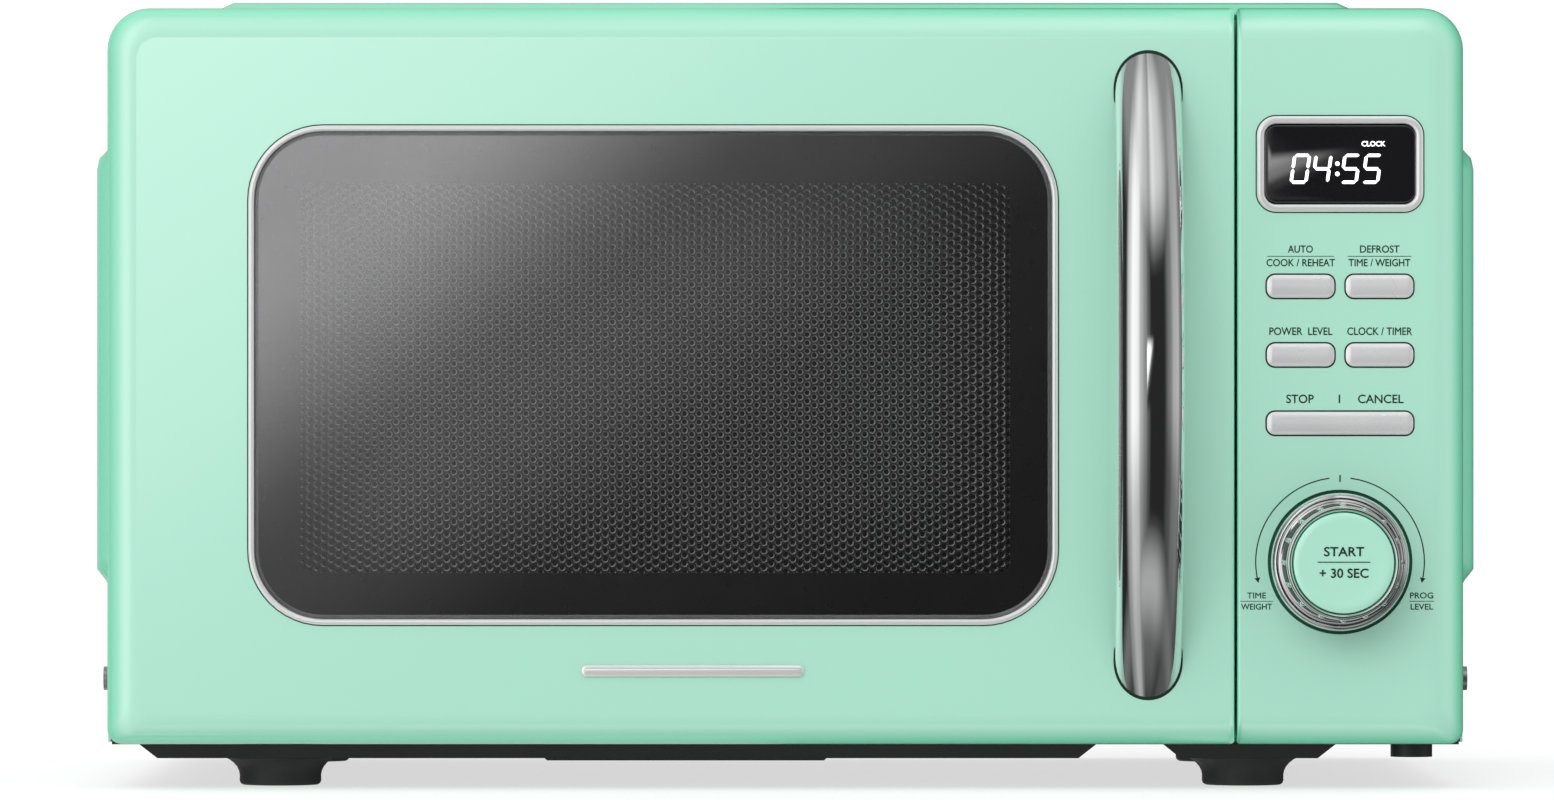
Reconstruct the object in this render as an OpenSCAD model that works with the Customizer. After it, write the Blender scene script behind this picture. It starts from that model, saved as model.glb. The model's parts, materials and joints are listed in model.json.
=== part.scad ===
// A countertop microwave oven with a left-hinged door and a dial.
// Millimetres. +Z is up, the door faces -Y, and the origin is on the worktop
// under the middle of the whole.

/* [Front] */
// Width of the door and the control panel together
front_w = 450; // [446:1:454]
// Height of the door and the control panel
front_h = 244.2; // [243:0.1:246]
// Height of their lower edge above the worktop
front_z = 15.2; // [15.2:0.1:16]
// Width of the control panel
panel_w = 75.3; // [74.5:0.1:76]
// Gap between the door and the control panel
seam = 1.3; // [1:0.1:1.6]
// Thickness of the door
door_t = 34; // [33.5:0.1:34.5]
// Wall of the moulded door frame and control panel
wall = 2.6; // [2.2:0.1:3]
// Radius of the rolled outer edges
edge_r = 10; // [9:0.5:11]
// Corner radius of the front, above
crown_r = 14; // [12:0.5:16]

/* [Body] */
// Depth from the door's face to the rearmost point
body_d = 340; // [338:1:345]
// Half of the width of the outer cover, without its embossed panels
case_x = 226.5; // [226:0.1:227.5]
// Height of the embossed panels on the sides
side_emboss = 5; // [3:0.5:5]
// Height of the embossed panel on the top
top_emboss = 3.8; // [2:0.2:4]
// Thickness of the steel sheet
sheet = 0.8; // [0.7:0.1:1.2]

/* [Cooking cavity] */
// Inside width of the cavity
cav_w = 315; // [310:1:318]
// Inside height of the cavity
cav_h = 198; // [190:1:200]
// Inside depth of the cavity
cav_d = 285; // [280:1:288]
// Diameter of the glass tray
tray_dia = 255; // [240:1:265]
// Radius of the tray's rollers
roller_r = 7; // [6.5:0.1:7.5]
// Radius of the circle that the rollers run on
track_r = 88; // [84:1:92]

/* [Window] */
// Distance of the window's middle from the middle of the front
win_x = -43.8; // [-45:0.1:-42]
// Height of the window's middle above the worktop
win_z = 137.6; // [136:0.1:139]
// Width over the window trim
trim_w = 268; // [264:1:270]
// Height over the window trim
trim_h = 165.4; // [162:0.1:168]
// Corner radius of the window trim
trim_r = 24.8; // [22:0.1:27]

/* [Handle] */
// How far the handle stands out from the door's face
handle_out = 38; // [34:1:42]
// Length of the handle
handle_l = 213.8; // [208:0.1:216]
// Width of the handle
handle_w = 22; // [18:1:24]
// Thickness of the handle's bar
handle_t = 10.5; // [10:0.5:12]

/* [Controls] */
// Diameter of the dial
dial_dia = 45.7; // [44:0.1:47]
// Diameter of the dial's grip, inside its flange
grip_dia = 38.8; // [38:0.2:40]
// How far the dial stands out from the control panel
dial_out = 24; // [20:1:28]
// Number of grip ridges round the dial
dial_ridges = 16; // [12:1:24]
// Width of a small button
btn_w = 22.3; // [20:0.1:23]
// Height of a button
btn_h = 7.6; // [7:0.1:8.4]

/* [Hidden] */
$fn = 64;

mint = "#b6ecd5";
chrome = "#d6d9db";
steel = "#b9bdc0";
black = "#262626";
copper = "#b8703c";

// Depths are measured backwards from the door's face.
face_y = -(body_d - handle_out) / 2;
function dy(d) = face_y + d;
plate_d = door_t + 1.5;
cav_d0 = plate_d + sheet;
cover_d = plate_d + 3;
back_d = body_d - 6;

left_x = -front_w / 2;
right_x = front_w / 2;
panel_x = right_x - panel_w;
door_x = panel_x - seam;
top_z = front_z + front_h;
pin_x = left_x + 8;
pin_d = door_t - 8;
pin_r = 2.5;

case_z = top_z - 0.2;
base_z = front_z - 1;
pan_z = 9.4;
cav_x = win_x;
cav_z = base_z + 25.5;
cav_r = 8;
cav_right = cav_x + cav_w / 2;
table_y = dy(cav_d0 + cav_d / 2);
roller_z = cav_z + 0.3 + roller_r;
tray_z = roller_z + roller_r + 0.3;

ctrl_x = panel_x + 33.8;
display_z = front_z + 192.3;
row1_z = front_z + 151.8;
row2_z = front_z + 129.1;
stop_z = front_z + 106.5;
dial_z = front_z + 60.6;
col_l = ctrl_x - 13.05;
col_r = ctrl_x + 13.05;

latch_x = door_x - 19;
hook_z = [win_z - 62, win_z + 54];
fan_x = 170;
fan_z = 175;
feet_x = [-170, 154];
feet_d = [62, 296];

// ---- helpers ----------------------------------------------------------------

// The children's outline, drawn in X and Z, from depth d0 to depth d1.
module slab_y(d0, d1) {
    translate([0, dy(d1), 0]) rotate([90, 0, 0]) linear_extrude(d1 - d0) children();
}

// The children's outline, drawn in Y and Z, from x0 to x1.
module slab_x(x0, x1) {
    translate([x0, 0, 0]) rotate([90, 0, 90]) linear_extrude(x1 - x0) children();
}

// The children's outline, drawn in X and Y, from z0 to z1.
module slab_z(z0, z1) {
    translate([0, 0, z0]) linear_extrude(z1 - z0) children();
}

// A rectangle from a to b whose four corners, anticlockwise from the lowest, have radii r.
module rect4(a, b, r) {
    polygon([
        [a.x + r[0], a.y], [b.x - r[1], a.y], [b.x, a.y + r[1]], [b.x, b.y - r[2]],
        [b.x - r[2], b.y], [a.x + r[3], b.y], [a.x, b.y - r[3]], [a.x, a.y + r[0]]
    ]);
    translate([a.x + r[0], a.y + r[0]]) circle(r[0]);
    translate([b.x - r[1], a.y + r[1]]) circle(r[1]);
    translate([b.x - r[2], b.y - r[2]]) circle(r[2]);
    translate([a.x + r[3], b.y - r[3]]) circle(r[3]);
}

// A rounded rectangle about a middle.
module rrect(mid, w, h, r) {
    rect4([mid.x - w / 2, mid.y - h / 2], [mid.x + w / 2, mid.y + h / 2], [r, r, r, r]);
}

// A box from corner a to corner b, each [x, depth, z].
module block(a, b) {
    translate([a.x, dy(a.y), a.z]) cube([b.x - a.x, b.y - a.y, b.z - a.z]);
}

// Cylinders along each axis, from one coordinate to another.
module rod_x(x0, x1, d, z, r) {
    translate([x0, dy(d), z]) rotate([0, 90, 0]) cylinder(h = x1 - x0, r = r);
}

module rod_y(x, d0, d1, z, r) {
    translate([x, dy(d1), z]) rotate([90, 0, 0]) cylinder(h = d1 - d0, r = r);
}

module rod_z(x, d, z0, z1, r) {
    translate([x, dy(d), z0]) cylinder(h = z1 - z0, r = r);
}

// A block with its own corner radii in each view. Ranges are [low, high];
// front is in X and Z, side in depth and Z, plan in X and depth.
module rolled(x, d, z, front, side, plan) {
    intersection() {
        slab_y(d[0], d[1]) rect4([x[0], z[0]], [x[1], z[1]], front);
        slab_x(x[0] - 1, x[1] + 1) rect4([dy(d[0]), z[0]], [dy(d[1]), z[1]], side);
        slab_z(z[0] - 1, z[1] + 1) rect4([x[0], dy(d[0])], [x[1], dy(d[1])], plan);
    }
}

// ---- outer casing ---------------------------------------------------------------

// Outline of the wrapped cover, open below, inset by t from its outside.
module cover_outline(t) {
    rect4([-case_x + t, base_z + 0.8 - (t > 0 ? 5 : 0)], [case_x - t, case_z - t],
        [0.4, 0.4, crown_r - t, crown_r - t]);
}

// Raised panels on both sides and the top, sloping at their edges.
module cover_embosses(t) {
    slope = 7;
    z0 = 65.7;
    z1 = 215.9;
    d0 = cover_d + 12;
    d1 = back_d - 30;
    x1 = case_x + side_emboss - t;
    intersection() {
        slab_y(d0, d1) polygon([
            [-case_x + 3, z0], [-x1, z0 + slope], [-x1, z1 - slope], [-case_x + 3, z1],
            [case_x - 3, z1], [x1, z1 - slope], [x1, z0 + slope], [case_x - 3, z0]
        ]);
        slab_z(z0 - 1, z1 + 1) polygon([
            [-case_x + 3, dy(d0)], [-x1, dy(d0 + slope)], [-x1, dy(d1 - slope)],
            [-case_x + 3, dy(d1)], [case_x - 3, dy(d1)], [x1, dy(d1 - slope)],
            [x1, dy(d0 + slope)], [case_x - 3, dy(d0)]
        ]);
    }
    top = case_z + top_emboss - t;
    intersection() {
        slab_y(d0, d1) polygon([
            [-195, case_z - 3], [195, case_z - 3], [191.8 - slope / 2, top],
            [-191.8 + slope / 2, top]
        ]);
        slab_x(-200, 200) polygon([
            [dy(d0), case_z - 3], [dy(d1), case_z - 3], [dy(d1 - slope), top],
            [dy(d0 + slope), top]
        ]);
    }
}

// Where the screws hold the cover's rear lip: [x, z].
rear_screws = [
    [-150, case_z - 7], [0, case_z - 7], [150, case_z - 7], [-219.5, 60], [-219.5, 200],
    [219.5, 60], [219.5, 200]
];
side_screw = [cover_d + 12, 36];

module outer_cover() color(mint) {
    lip = 13;
    difference() {
        union() {
            slab_y(cover_d, back_d + sheet) cover_outline(0);
            cover_embosses(0);
        }
        slab_y(cover_d - 1, back_d) cover_outline(sheet);
        slab_y(back_d - 1, back_d + 2) rect4([-case_x + lip, 0], [case_x - lip, case_z - lip],
            [0.4, 0.4, 4, 4]);
        cover_embosses(sheet);
        for (s = rear_screws) rod_y(s.x, back_d - 1, back_d + 3, s.y, 2);
        rod_x(-case_x - 2, case_x + 2, side_screw.x, side_screw.y, 2);
        // air slots: intake low on the right, exhaust high on the left
        for (i = [0:8]) {
            slab_x(case_x - 2, case_x + 2) rrect([dy(110 + 12 * i), 42], 3, 26, 1.45);
            slab_x(-case_x - 2, -case_x + 2) rrect([dy(190 + 12 * i), 235], 3, 20, 1.45);
        }
    }
}

// A pressed pan in the base, from x0 to x1 and depth d0 to d1, down to z.
module pressing(x0, x1, d0, d1, z, t) {
    slope = 6;
    intersection() {
        slab_y(d0 + t, d1 - t) polygon([
            [x0 + t, base_z + sheet + t], [x0 + t, base_z], [x0 + slope + t, z + t],
            [x1 - slope - t, z + t], [x1 - t, base_z], [x1 - t, base_z + sheet + t]
        ]);
        slab_x(x0, x1) polygon([
            [dy(d0 + t), base_z + sheet + t], [dy(d0 + t), base_z], [dy(d0 + 2 + t), z + t],
            [dy(d1 - 2 - t), z + t], [dy(d1 - t), base_z], [dy(d1 - t), base_z + sheet + t]
        ]);
    }
}

module base_pressings(t) {
    pressing(-216.4, 104.2, cover_d + 3, back_d - 14, pan_z, t);
    pressing(-86, 19, cover_d + 10, back_d - 20, pan_z - 1, t);
    for (d = feet_d) pressing(126.4, 184.3, d - 21, d + 21, pan_z, t);
}

module base_plate() color(black) {
    half = case_x - 1.2;
    difference() {
        union() {
            block([-half, cover_d, base_z], [half, back_d - sheet, base_z + sheet]);
            for (s = [-1, 1]) {
                block([s > 0 ? half - sheet : -half, cover_d, base_z],
                    [s > 0 ? half : -half + sheet, back_d - sheet, 44]);
            }
            base_pressings(0);
            rod_z(210, cover_d + 10, pan_z + 0.4, base_z, 7);
        }
        base_pressings(sheet);
        for (x = feet_x, d = feet_d) rod_z(x, d, 5, 20, 4.1);
        rod_x(-half - 1, half + 1, side_screw.x, side_screw.y, 2);
        // cooling slots under the component bay
        for (i = [0:6]) block([192, 110 + 12 * i, base_z - 1], [214, 114 + 12 * i, base_z + 3]);
    }
}

module back_panel() color("#3a3c3e") {
    half = case_x - 1.2;
    difference() {
        slab_y(back_d - sheet, back_d) rect4([-half, base_z + 0.8], [half, case_z - 1.2],
            [0.5, 0.5, crown_r - 1.2, crown_r - 1.2]);
        // fan grille
        for (i = [-4:4]) {
            slab_y(back_d - 3, back_d + 1) rrect([fan_x + 10 * i, fan_z],
                4, 2 * sqrt(46 * 46 - 100 * i * i), 1.9);
        }
        // hot air outlet behind the cavity
        for (i = [0:15], j = [0:1]) {
            slab_y(back_d - 3, back_d + 1) rrect([-170 + 12 * i, 200 - 40 * j], 4, 30, 1.9);
        }
        rod_y(200, back_d - 3, back_d + 1, 70, 9);
        for (s = rear_screws) rod_y(s.x, back_d - 3, back_d + 1, s.y, 2);
    }
}

module foot(i, j) color("#2e2e2e") {
    translate([feet_x[i], dy(feet_d[j]), 0]) {
        rotate_extrude() polygon([
            [0, 0], [12.4, 0], [13.5, 1], [13.7, 3.2], [14.4, 5.4], [16, 7.6], [18.5, pan_z],
            [0, pan_z]
        ]);
        translate([0, 0, pan_z - 0.1]) cylinder(h = sheet + 0.3, r = 4);
        translate([0, 0, pan_z + sheet]) cylinder(h = 3, r1 = 5.5, r2 = 3);
    }
}

module cover_screws() color(steel) {
    for (s = rear_screws) {
        rod_y(s.x, back_d + sheet, back_d + 3.4, s.y, 4);
        rod_y(s.x, back_d - 7, back_d + 1.1, s.y, 1.8);
    }
    for (s = [-1, 1]) {
        rod_x(s > 0 ? case_x : -case_x - 2.2, s > 0 ? case_x + 2.2 : -case_x, side_screw.x,
            side_screw.y, 4);
        rod_x(s > 0 ? case_x - 8 : -case_x - 0.1, s > 0 ? case_x + 0.1 : -case_x + 8,
            side_screw.x, side_screw.y, 1.8);
    }
}

// ---- cooking cavity -------------------------------------------------------------

wave_d = 167;
wave_z = cav_z + 100;
lamp_d = 100;
lamp_z = cav_z + 172;

module cavity() color("#cfd2d2") {
    mid = [cav_x, cav_z + cav_h / 2];
    difference() {
        slab_y(cav_d0, cav_d0 + cav_d + sheet) rrect(mid, cav_w + 2 * sheet, cav_h + 2 * sheet,
            cav_r + sheet);
        slab_y(cav_d0 - 1, cav_d0 + cav_d) rrect(mid, cav_w, cav_h, cav_r);
        translate([cav_x, table_y, cav_z - 5]) cylinder(h = 10, r = 7);
        // microwave inlet, lamp holes and air holes
        block([cav_right - 2, wave_d - 28, wave_z - 20], [cav_right + 3, wave_d + 28, wave_z + 20]);
        for (i = [-3:3], j = [-2:2]) {
            rod_x(cav_right - 2, cav_right + 3, lamp_d + 5 * i, lamp_z + 5 * j, 1.6);
            rod_x(cav_x - cav_w / 2 - 3, cav_x - cav_w / 2 + 2, 270 + 5 * i, lamp_z + 5 * j, 1.6);
        }
    }
}

module latch_slots(grow) {
    for (z = hook_z) block([latch_x - 3.5 - grow, plate_d - 8, z - 9], [latch_x + 3.5 + grow,
        plate_d + 9, z + 13]);
}

module cavity_front_plate() color(steel) {
    difference() {
        slab_y(plate_d, plate_d + sheet) rect4([pin_x - 1, base_z + 2.5], [right_x - 3, top_z - 3],
            [2, 2, 9, 9]);
        slab_y(plate_d - 1, plate_d + 3) rrect([cav_x, cav_z + cav_h / 2], cav_w, cav_h, cav_r);
        latch_slots(0.6);
        for (z = [hinge_lo, hinge_hi]) block([pin_x - 6, plate_d - 1, z - 1.6],
            [pin_x + 6, plate_d + 3, z + 1.6]);
        // wiring to the component bay
        rod_y(165, plate_d - 1, plate_d + 3, harness_z, 7);
    }
}

hinge_lo = front_z + 12.8;
hinge_hi = top_z - 13.4;

// A hinge bracket: a plate behind the front plate, an arm through it, and a pin
// that points towards the door's middle, up for s = 1 and down for s = -1.
module hinge_bracket(z, s) color(steel) {
    back = plate_d + sheet;
    slab_z(z - 1, z + 1) {
        translate([pin_x, dy(pin_d)]) circle(5);
        translate([pin_x - 5, dy(pin_d)]) square([10, back + 2 - pin_d]);
    }
    block([pin_x - 5, back, s > 0 ? z - 1 : z - 22], [pin_x + 9, back + 2, s > 0 ? z + 22 : z + 1]);
    rod_z(pin_x, pin_d, s > 0 ? z - 1 : z - 6.5, s > 0 ? z + 6.5 : z + 1, pin_r);
}

module waveguide() color(steel) {
    x0 = cav_right + sheet;
    difference() {
        block([x0, wave_d - 46, wave_z - 30], [x0 + 25, wave_d + 46, wave_z + 72]);
        block([x0 - 1, wave_d - 45, wave_z - 29], [x0 + 24, wave_d + 45, wave_z + 71]);
        rod_x(x0 + 20, x0 + 30, wave_d, wave_z + 25, 11);
    }
}

module waveguide_cover() color("#c9b48a") {
    block([cav_right - 1, wave_d - 36, wave_z - 27], [cav_right, wave_d + 36, wave_z + 27]);
}

module magnetron() color("#9aa0a4") {
    x0 = cav_right + sheet + 25;
    z0 = wave_z + 25;
    // yoke, cooling fins, antenna and filter box
    difference() {
        block([x0, wave_d - 44, z0 - 40], [x0 + 66, wave_d + 44, z0 + 40]);
        block([x0 + 2, wave_d - 45, z0 - 38], [x0 + 48, wave_d + 45, z0 + 38]);
    }
    for (i = [0:7]) block([x0 + 8 + 5 * i, wave_d - 40, z0 - 38], [x0 + 9 + 5 * i, wave_d + 40, z0 + 38]);
    rod_x(x0 + 1, x0 + 49, wave_d, z0, 18);
    rod_x(x0 - 18, x0 + 1, wave_d, z0, 8);
}

tf_mid = [168, 230];

module transformer_core() color("#4a4d50") {
    z0 = base_z + sheet;
    difference() {
        block([tf_mid.x - 43, tf_mid.y - 28, z0], [tf_mid.x + 43, tf_mid.y + 28, z0 + 72]);
        for (s = [-1, 1]) {
            block([tf_mid.x + 22 * s - 8, tf_mid.y - 30, z0 + 15],
                [tf_mid.x + 22 * s + 8, tf_mid.y + 30, z0 + 57]);
        }
    }
}

// Two coils round the core's middle limb.
module transformer_windings() color(copper) {
    z0 = base_z + sheet;
    for (k = [0, 1]) {
        difference() {
            slab_z(z0 + 16 + 21 * k, z0 + 35 + 21 * k) rrect([tf_mid.x, dy(tf_mid.y)], 59, 86, 8);
            block([tf_mid.x - 14.5, tf_mid.y - 28.5, z0], [tf_mid.x + 14.5, tf_mid.y + 28.5, z0 + 80]);
        }
    }
}

cap_d = [92, 187];

module capacitor() color("#c3c6c8") {
    slab_y(cap_d[0], cap_d[1]) rrect([178, base_z + sheet + 17.5], 52, 33, 16);
    for (x = [166, 190]) block([x - 3, cap_d[0] - 9, base_z + 24], [x + 3, cap_d[0], base_z + 25]);
}

module hv_diode() color("#1f1f1f") {
    z = base_z + 24.5;
    rod_z(214, 84, base_z + sheet, z + 1.5, 1);
    rod_x(199, 210, 84, z, 3);
    rod_x(193.2, 215, 84, z, 1);
}

// ---- cooling fan ------------------------------------------------------------------

module fan_shroud() color("#2f3234") {
    difference() {
        union() {
            block([fan_x - 51, back_d - 32, fan_z - 51], [fan_x + 51, back_d - 29, fan_z + 51]);
            rod_y(fan_x, back_d - 30, back_d - sheet, fan_z, 50.5);
        }
        rod_y(fan_x, back_d - 40, back_d, fan_z, 48.5);
    }
}

module fan_motor() color("#7d8286") {
    difference() {
        union() {
            block([fan_x - 27, back_d - 60, fan_z - 30], [fan_x + 27, back_d - 44, fan_z + 24]);
            rod_y(fan_x, back_d - 66, back_d - 38, fan_z, 13);
            block([fan_x - 50, back_d - 46, fan_z - 6], [fan_x + 50, back_d - 44, fan_z + 6]);
            for (s = [-1, 1]) block([fan_x + 50 * s - 1.2, back_d - 46, fan_z - 6],
                [fan_x + 50 * s + 1.2, back_d - 32, fan_z + 6]);
        }
        rod_y(fan_x, back_d - 62, back_d - 30, fan_z, 2.05);
    }
}

module fan_blade() color("#e4e4de") {
    rod_y(fan_x, back_d - 58, back_d - 8, fan_z, 2);
    rod_y(fan_x, back_d - 26, back_d - 8, fan_z, 12);
    for (i = [0:5]) {
        translate([fan_x, dy(back_d - 17), fan_z]) rotate([0, 60 * i, 0]) rotate([0, 0, 32])
            translate([-11, -0.8, 8]) cube([22, 1.6, 36]);
    }
}

// ---- turntable ----------------------------------------------------------------------

module turntable_motor() color("#b7bbbe") {
    difference() {
        translate([cav_x, table_y, cav_z - sheet - 17]) union() {
            cylinder(h = 17, r = 25);
            translate([-33, -7, 15]) cube([66, 14, 2]);
        }
        translate([cav_x, table_y, cav_z - sheet - 9]) cylinder(h = 12, r = 4.05);
    }
}

module turntable_coupler() color("#e8e6df") {
    translate([cav_x, table_y, 0]) {
        translate([0, 0, cav_z - sheet - 8]) cylinder(h = 11, r = 4);
        translate([0, 0, cav_z + 1.5]) cylinder(h = tray_z - cav_z - 1.5, r = 8);
        for (a = [0, 120, 240]) rotate([0, 0, a]) translate([0, -3, tray_z - 7]) cube([15, 6, 7]);
    }
}

module roller_ring() color("#dedcd4") {
    translate([cav_x, table_y, roller_z]) {
        rotate_extrude() translate([track_r - 16, 0]) square([6, 6], center = true);
        for (a = [0, 120, 240]) rotate([0, 0, a]) translate([track_r - 14, 0, 0])
            rotate([0, 90, 0]) cylinder(h = 19.5, r = 2);
    }
}

module roller(i) color("#f0eee8") {
    translate([cav_x, table_y, roller_z]) rotate([0, 0, 120 * (i - 1)])
        translate([track_r - 3.5, 0, 0]) rotate([0, 90, 0]) difference() {
            cylinder(h = 7, r = roller_r);
            translate([0, 0, -1]) cylinder(h = 9, r = 2.06);
        }
}

module glass_tray() color([0.75, 0.88, 0.86, 0.5]) {
    r = tray_dia / 2;
    translate([cav_x, table_y, tray_z]) rotate_extrude() union() {
        polygon([
            [0, 0], [r - 16, 0], [r - 4, 8], [r, 9.5], [r, 12.5], [r - 4, 12.5], [r - 17, 5],
            [0, 5]
        ]);
    }
}

// ---- small components -----------------------------------------------------------------

module cavity_lamp() color("#f3ead0") {
    x0 = cav_right + sheet;
    translate([x0 + 4, dy(lamp_d), lamp_z]) rotate([0, 90, 0]) rotate_extrude() polygon([
        [0, 0], [5, 1], [9, 4], [11, 9], [11, 13], [8, 20], [9, 22], [9, 39.5], [0, 39.5]
    ]);
    block([x0, lamp_d - 16, lamp_z - 14], [x0 + 44, lamp_d - 14.5, lamp_z + 14]);
    block([x0 + 42.5, lamp_d - 16, lamp_z - 14], [x0 + 44, lamp_d + 12, lamp_z + 14]);
}

module thermal_cutout() color("#d8d4c8") {
    z0 = cav_z + cav_h + sheet;
    rod_z(cav_x, 150, z0, z0 + 7, 8);
    rod_z(cav_x, 150, z0, z0 + 1, 12);
    for (s = [-1, 1]) block([cav_x + 4 * s - 1.5, 149.6, z0 + 6], [cav_x + 4 * s + 1.5, 150.4, z0 + 13]);
}

// Plastic board with a ledge under each of the door's two hooks.
module latch_board() color("#e9e7df") {
    back = plate_d + sheet;
    block([latch_x + 6, back, hook_z[0] - 22], [latch_x + 9, back + 34, hook_z[1] + 26]);
    for (z = hook_z) block([latch_x - 5, back + 0.6, z - 11], [latch_x + 6, back + 16, z - 8.5]);
}

module interlock_switches() color("#3b2c2a") {
    back = plate_d + sheet;
    for (z = [hook_z[0] + 4, hook_z[1] - 14, hook_z[1] + 10]) {
        block([latch_x + 9, back + 8, z - 8], [latch_x + 15.5, back + 28, z + 8]);
        block([latch_x + 10.5, back + 5.5, z - 2], [latch_x + 13.5, back + 8, z + 1]);
    }
}

module filter_board() color("#2f6b45") {
    x0 = cav_right + sheet;
    block([x0 + 6, 232, 182], [x0 + 7.6, 300, 232]);
    for (d = [237, 295], z = [187, 227]) rod_x(x0, x0 + 6, d, z, 3);
    rod_x(x0 + 7.6, x0 + 20, 250, 214, 11);
    rod_x(x0 + 7.6, x0 + 18, 280, 214, 8);
    block([x0 + 7.6, 240, 186], [x0 + 19, 262, 198]);
}

module cord_gland() color("#1c1c1c") {
    difference() {
        union() {
            rod_y(200, back_d - 7, back_d + 1, 70, 8.9);
            rod_y(200, back_d, back_d + 6, 70, 11);
        }
        rod_y(200, back_d - 8, back_d + 7, 70, 3.6);
    }
}

harness_z = front_z + 212.8;

module wiring_harness() color("#7a2f2f") {
    d_end = 228;
    d_drop = 112;
    r = 4;
    rod_y(165, 21.6, d_end, harness_z, r);
    translate([165, dy(d_end), harness_z]) sphere(r = r);
    rod_x(cav_right + sheet + 8, 165, d_end, harness_z, r);
    rod_z(165, d_drop, base_z + sheet + 34.1, harness_z, r);
}

// ---- control panel ---------------------------------------------------------------------

module control_panel_fascia() color(mint) {
    depth = plate_d;
    difference() {
        rolled([panel_x, right_x], [0, depth], [front_z, top_z], [1.5, 4, crown_r, 1.5],
            [edge_r, 1, 1, edge_r], [1.5, edge_r + 2, 1, 1]);
        rolled([panel_x + wall, right_x - wall], [wall, depth + 2], [front_z + wall, top_z - wall],
            [0.8, 1.6, crown_r - wall, 0.8], [edge_r - wall, 0.5, 0.5, edge_r - wall],
            [0.8, edge_r + 2 - wall, 0.5, 0.5]);
        slab_y(-1, wall + 1) {
            rrect([ctrl_x, display_z], 51, 26.7, 4.4);
            for (x = [col_l, col_r], z = [row1_z, row2_z]) rrect([x, z], btn_w + 0.8, btn_h + 0.8, 3.2);
            rrect([ctrl_x, stop_z], col_r - col_l + btn_w + 0.8, btn_h + 0.6, 3.2);
            translate([ctrl_x, dial_z]) circle(dial_dia / 2 + 1.1);
        }
    }
    for (x = [panel_x + 7, right_x - 8], z = [front_z + 26, top_z - 18]) rod_y(x, wall - 0.3, 20, z, 2.6);
}

module display_bezel() color(chrome) {
    difference() {
        union() {
            slab_y(-1.2, 0) rrect([ctrl_x, display_z], 55.2, 31.8, 6.5);
            slab_y(-0.1, 4.2) rrect([ctrl_x, display_z], 50.9, 26.6, 4.3);
        }
        slab_y(-2, 5) rrect([ctrl_x, display_z], 50, 25.7, 4);
    }
}

module display_window() color("#101214") {
    slab_y(-0.4, 3) rrect([ctrl_x, display_z], 49.9, 25.6, 3.9);
}

module control_board() color("#2f6b45") {
    difference() {
        block([panel_x + 4, 20, front_z + 22], [right_x - 3.6, 21.6, top_z - 14]);
        rod_y(165, 19, 23, harness_z, 3.9);
    }
    // display module, switches, relays and a low-voltage transformer
    color("#22262a") block([ctrl_x - 23, 3.2, display_z - 11], [ctrl_x + 23, 20, display_z + 11]);
    color("#3c3c3c") {
        for (x = [col_l, col_r], z = [row1_z, row2_z]) rod_y(x, 17.4, 20, z, 3);
        rod_y(ctrl_x, 17.4, 20, stop_z, 3);
        rod_y(ctrl_x, 12.2, 20, dial_z, 4.5);
        for (z = [front_z + 90, front_z + 112]) block([178, 21.6, z], [196, 33, z + 15]);
        block([174, 21.6, front_z + 28], [206, 34, front_z + 56]);
    }
}

module rotary_encoder() color("#53575b") {
    difference() {
        union() {
            slab_y(13, 20) rrect([ctrl_x, dial_z], 36, 36, 3);
            rod_y(ctrl_x, -dial_out + 6, 14, dial_z, 14.92);
        }
        rod_y(ctrl_x, -dial_out, 21, dial_z, 12.3);
    }
}

module dial_ring() color(chrome) {
    grip_r = grip_dia / 2;
    difference() {
        union() {
            rod_y(ctrl_x, -dial_out, 2, dial_z, grip_r);
            rod_y(ctrl_x, -3.5, 2, dial_z, dial_dia / 2);
            for (i = [0:dial_ridges - 1]) {
                a = 360 / dial_ridges * i;
                rod_y(ctrl_x + grip_r * cos(a), -dial_out + 2.5, -3, dial_z + grip_r * sin(a), 0.9);
            }
        }
        rod_y(ctrl_x, -dial_out + 5.6, 3, dial_z, 15);
        rod_y(ctrl_x, -dial_out - 1, -dial_out + 5.7, dial_z, 17);
    }
}

module start_button() color(mint) {
    rod_y(ctrl_x, -dial_out - 0.5, -dial_out + 4, dial_z, 16.7);
    rod_y(ctrl_x, -dial_out + 3.9, 11, dial_z, 12.2);
}

// A push button: its face, the flange behind the panel and the stem to its switch.
module push_button(x, z, w) color(chrome) {
    slab_y(-1.2, wall + 0.5) rrect([x, z], w, btn_h, 2.8);
    slab_y(wall + 0.4, wall + 1.6) rrect([x, z], w + 2.6, btn_h + 2.6, 3.2);
    rod_y(x, wall + 1.5, 16.5, z, 2);
}

// ---- door ------------------------------------------------------------------------------------

// The hinge arms swing through these notches as the door opens.
module hinge_notches(x1) {
    for (z = [hinge_lo, hinge_hi]) block([left_x - 1, pin_d - 8.4, z - 1.6], [x1, door_t + 1, z + 1.6]);
}

bow_r = (handle_l * handle_l / 4 + handle_out * handle_out) / (2 * handle_out);
handle_x = door_x - 28.4;
handle_screw_z = [win_z - 95, win_z + 95];

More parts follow.
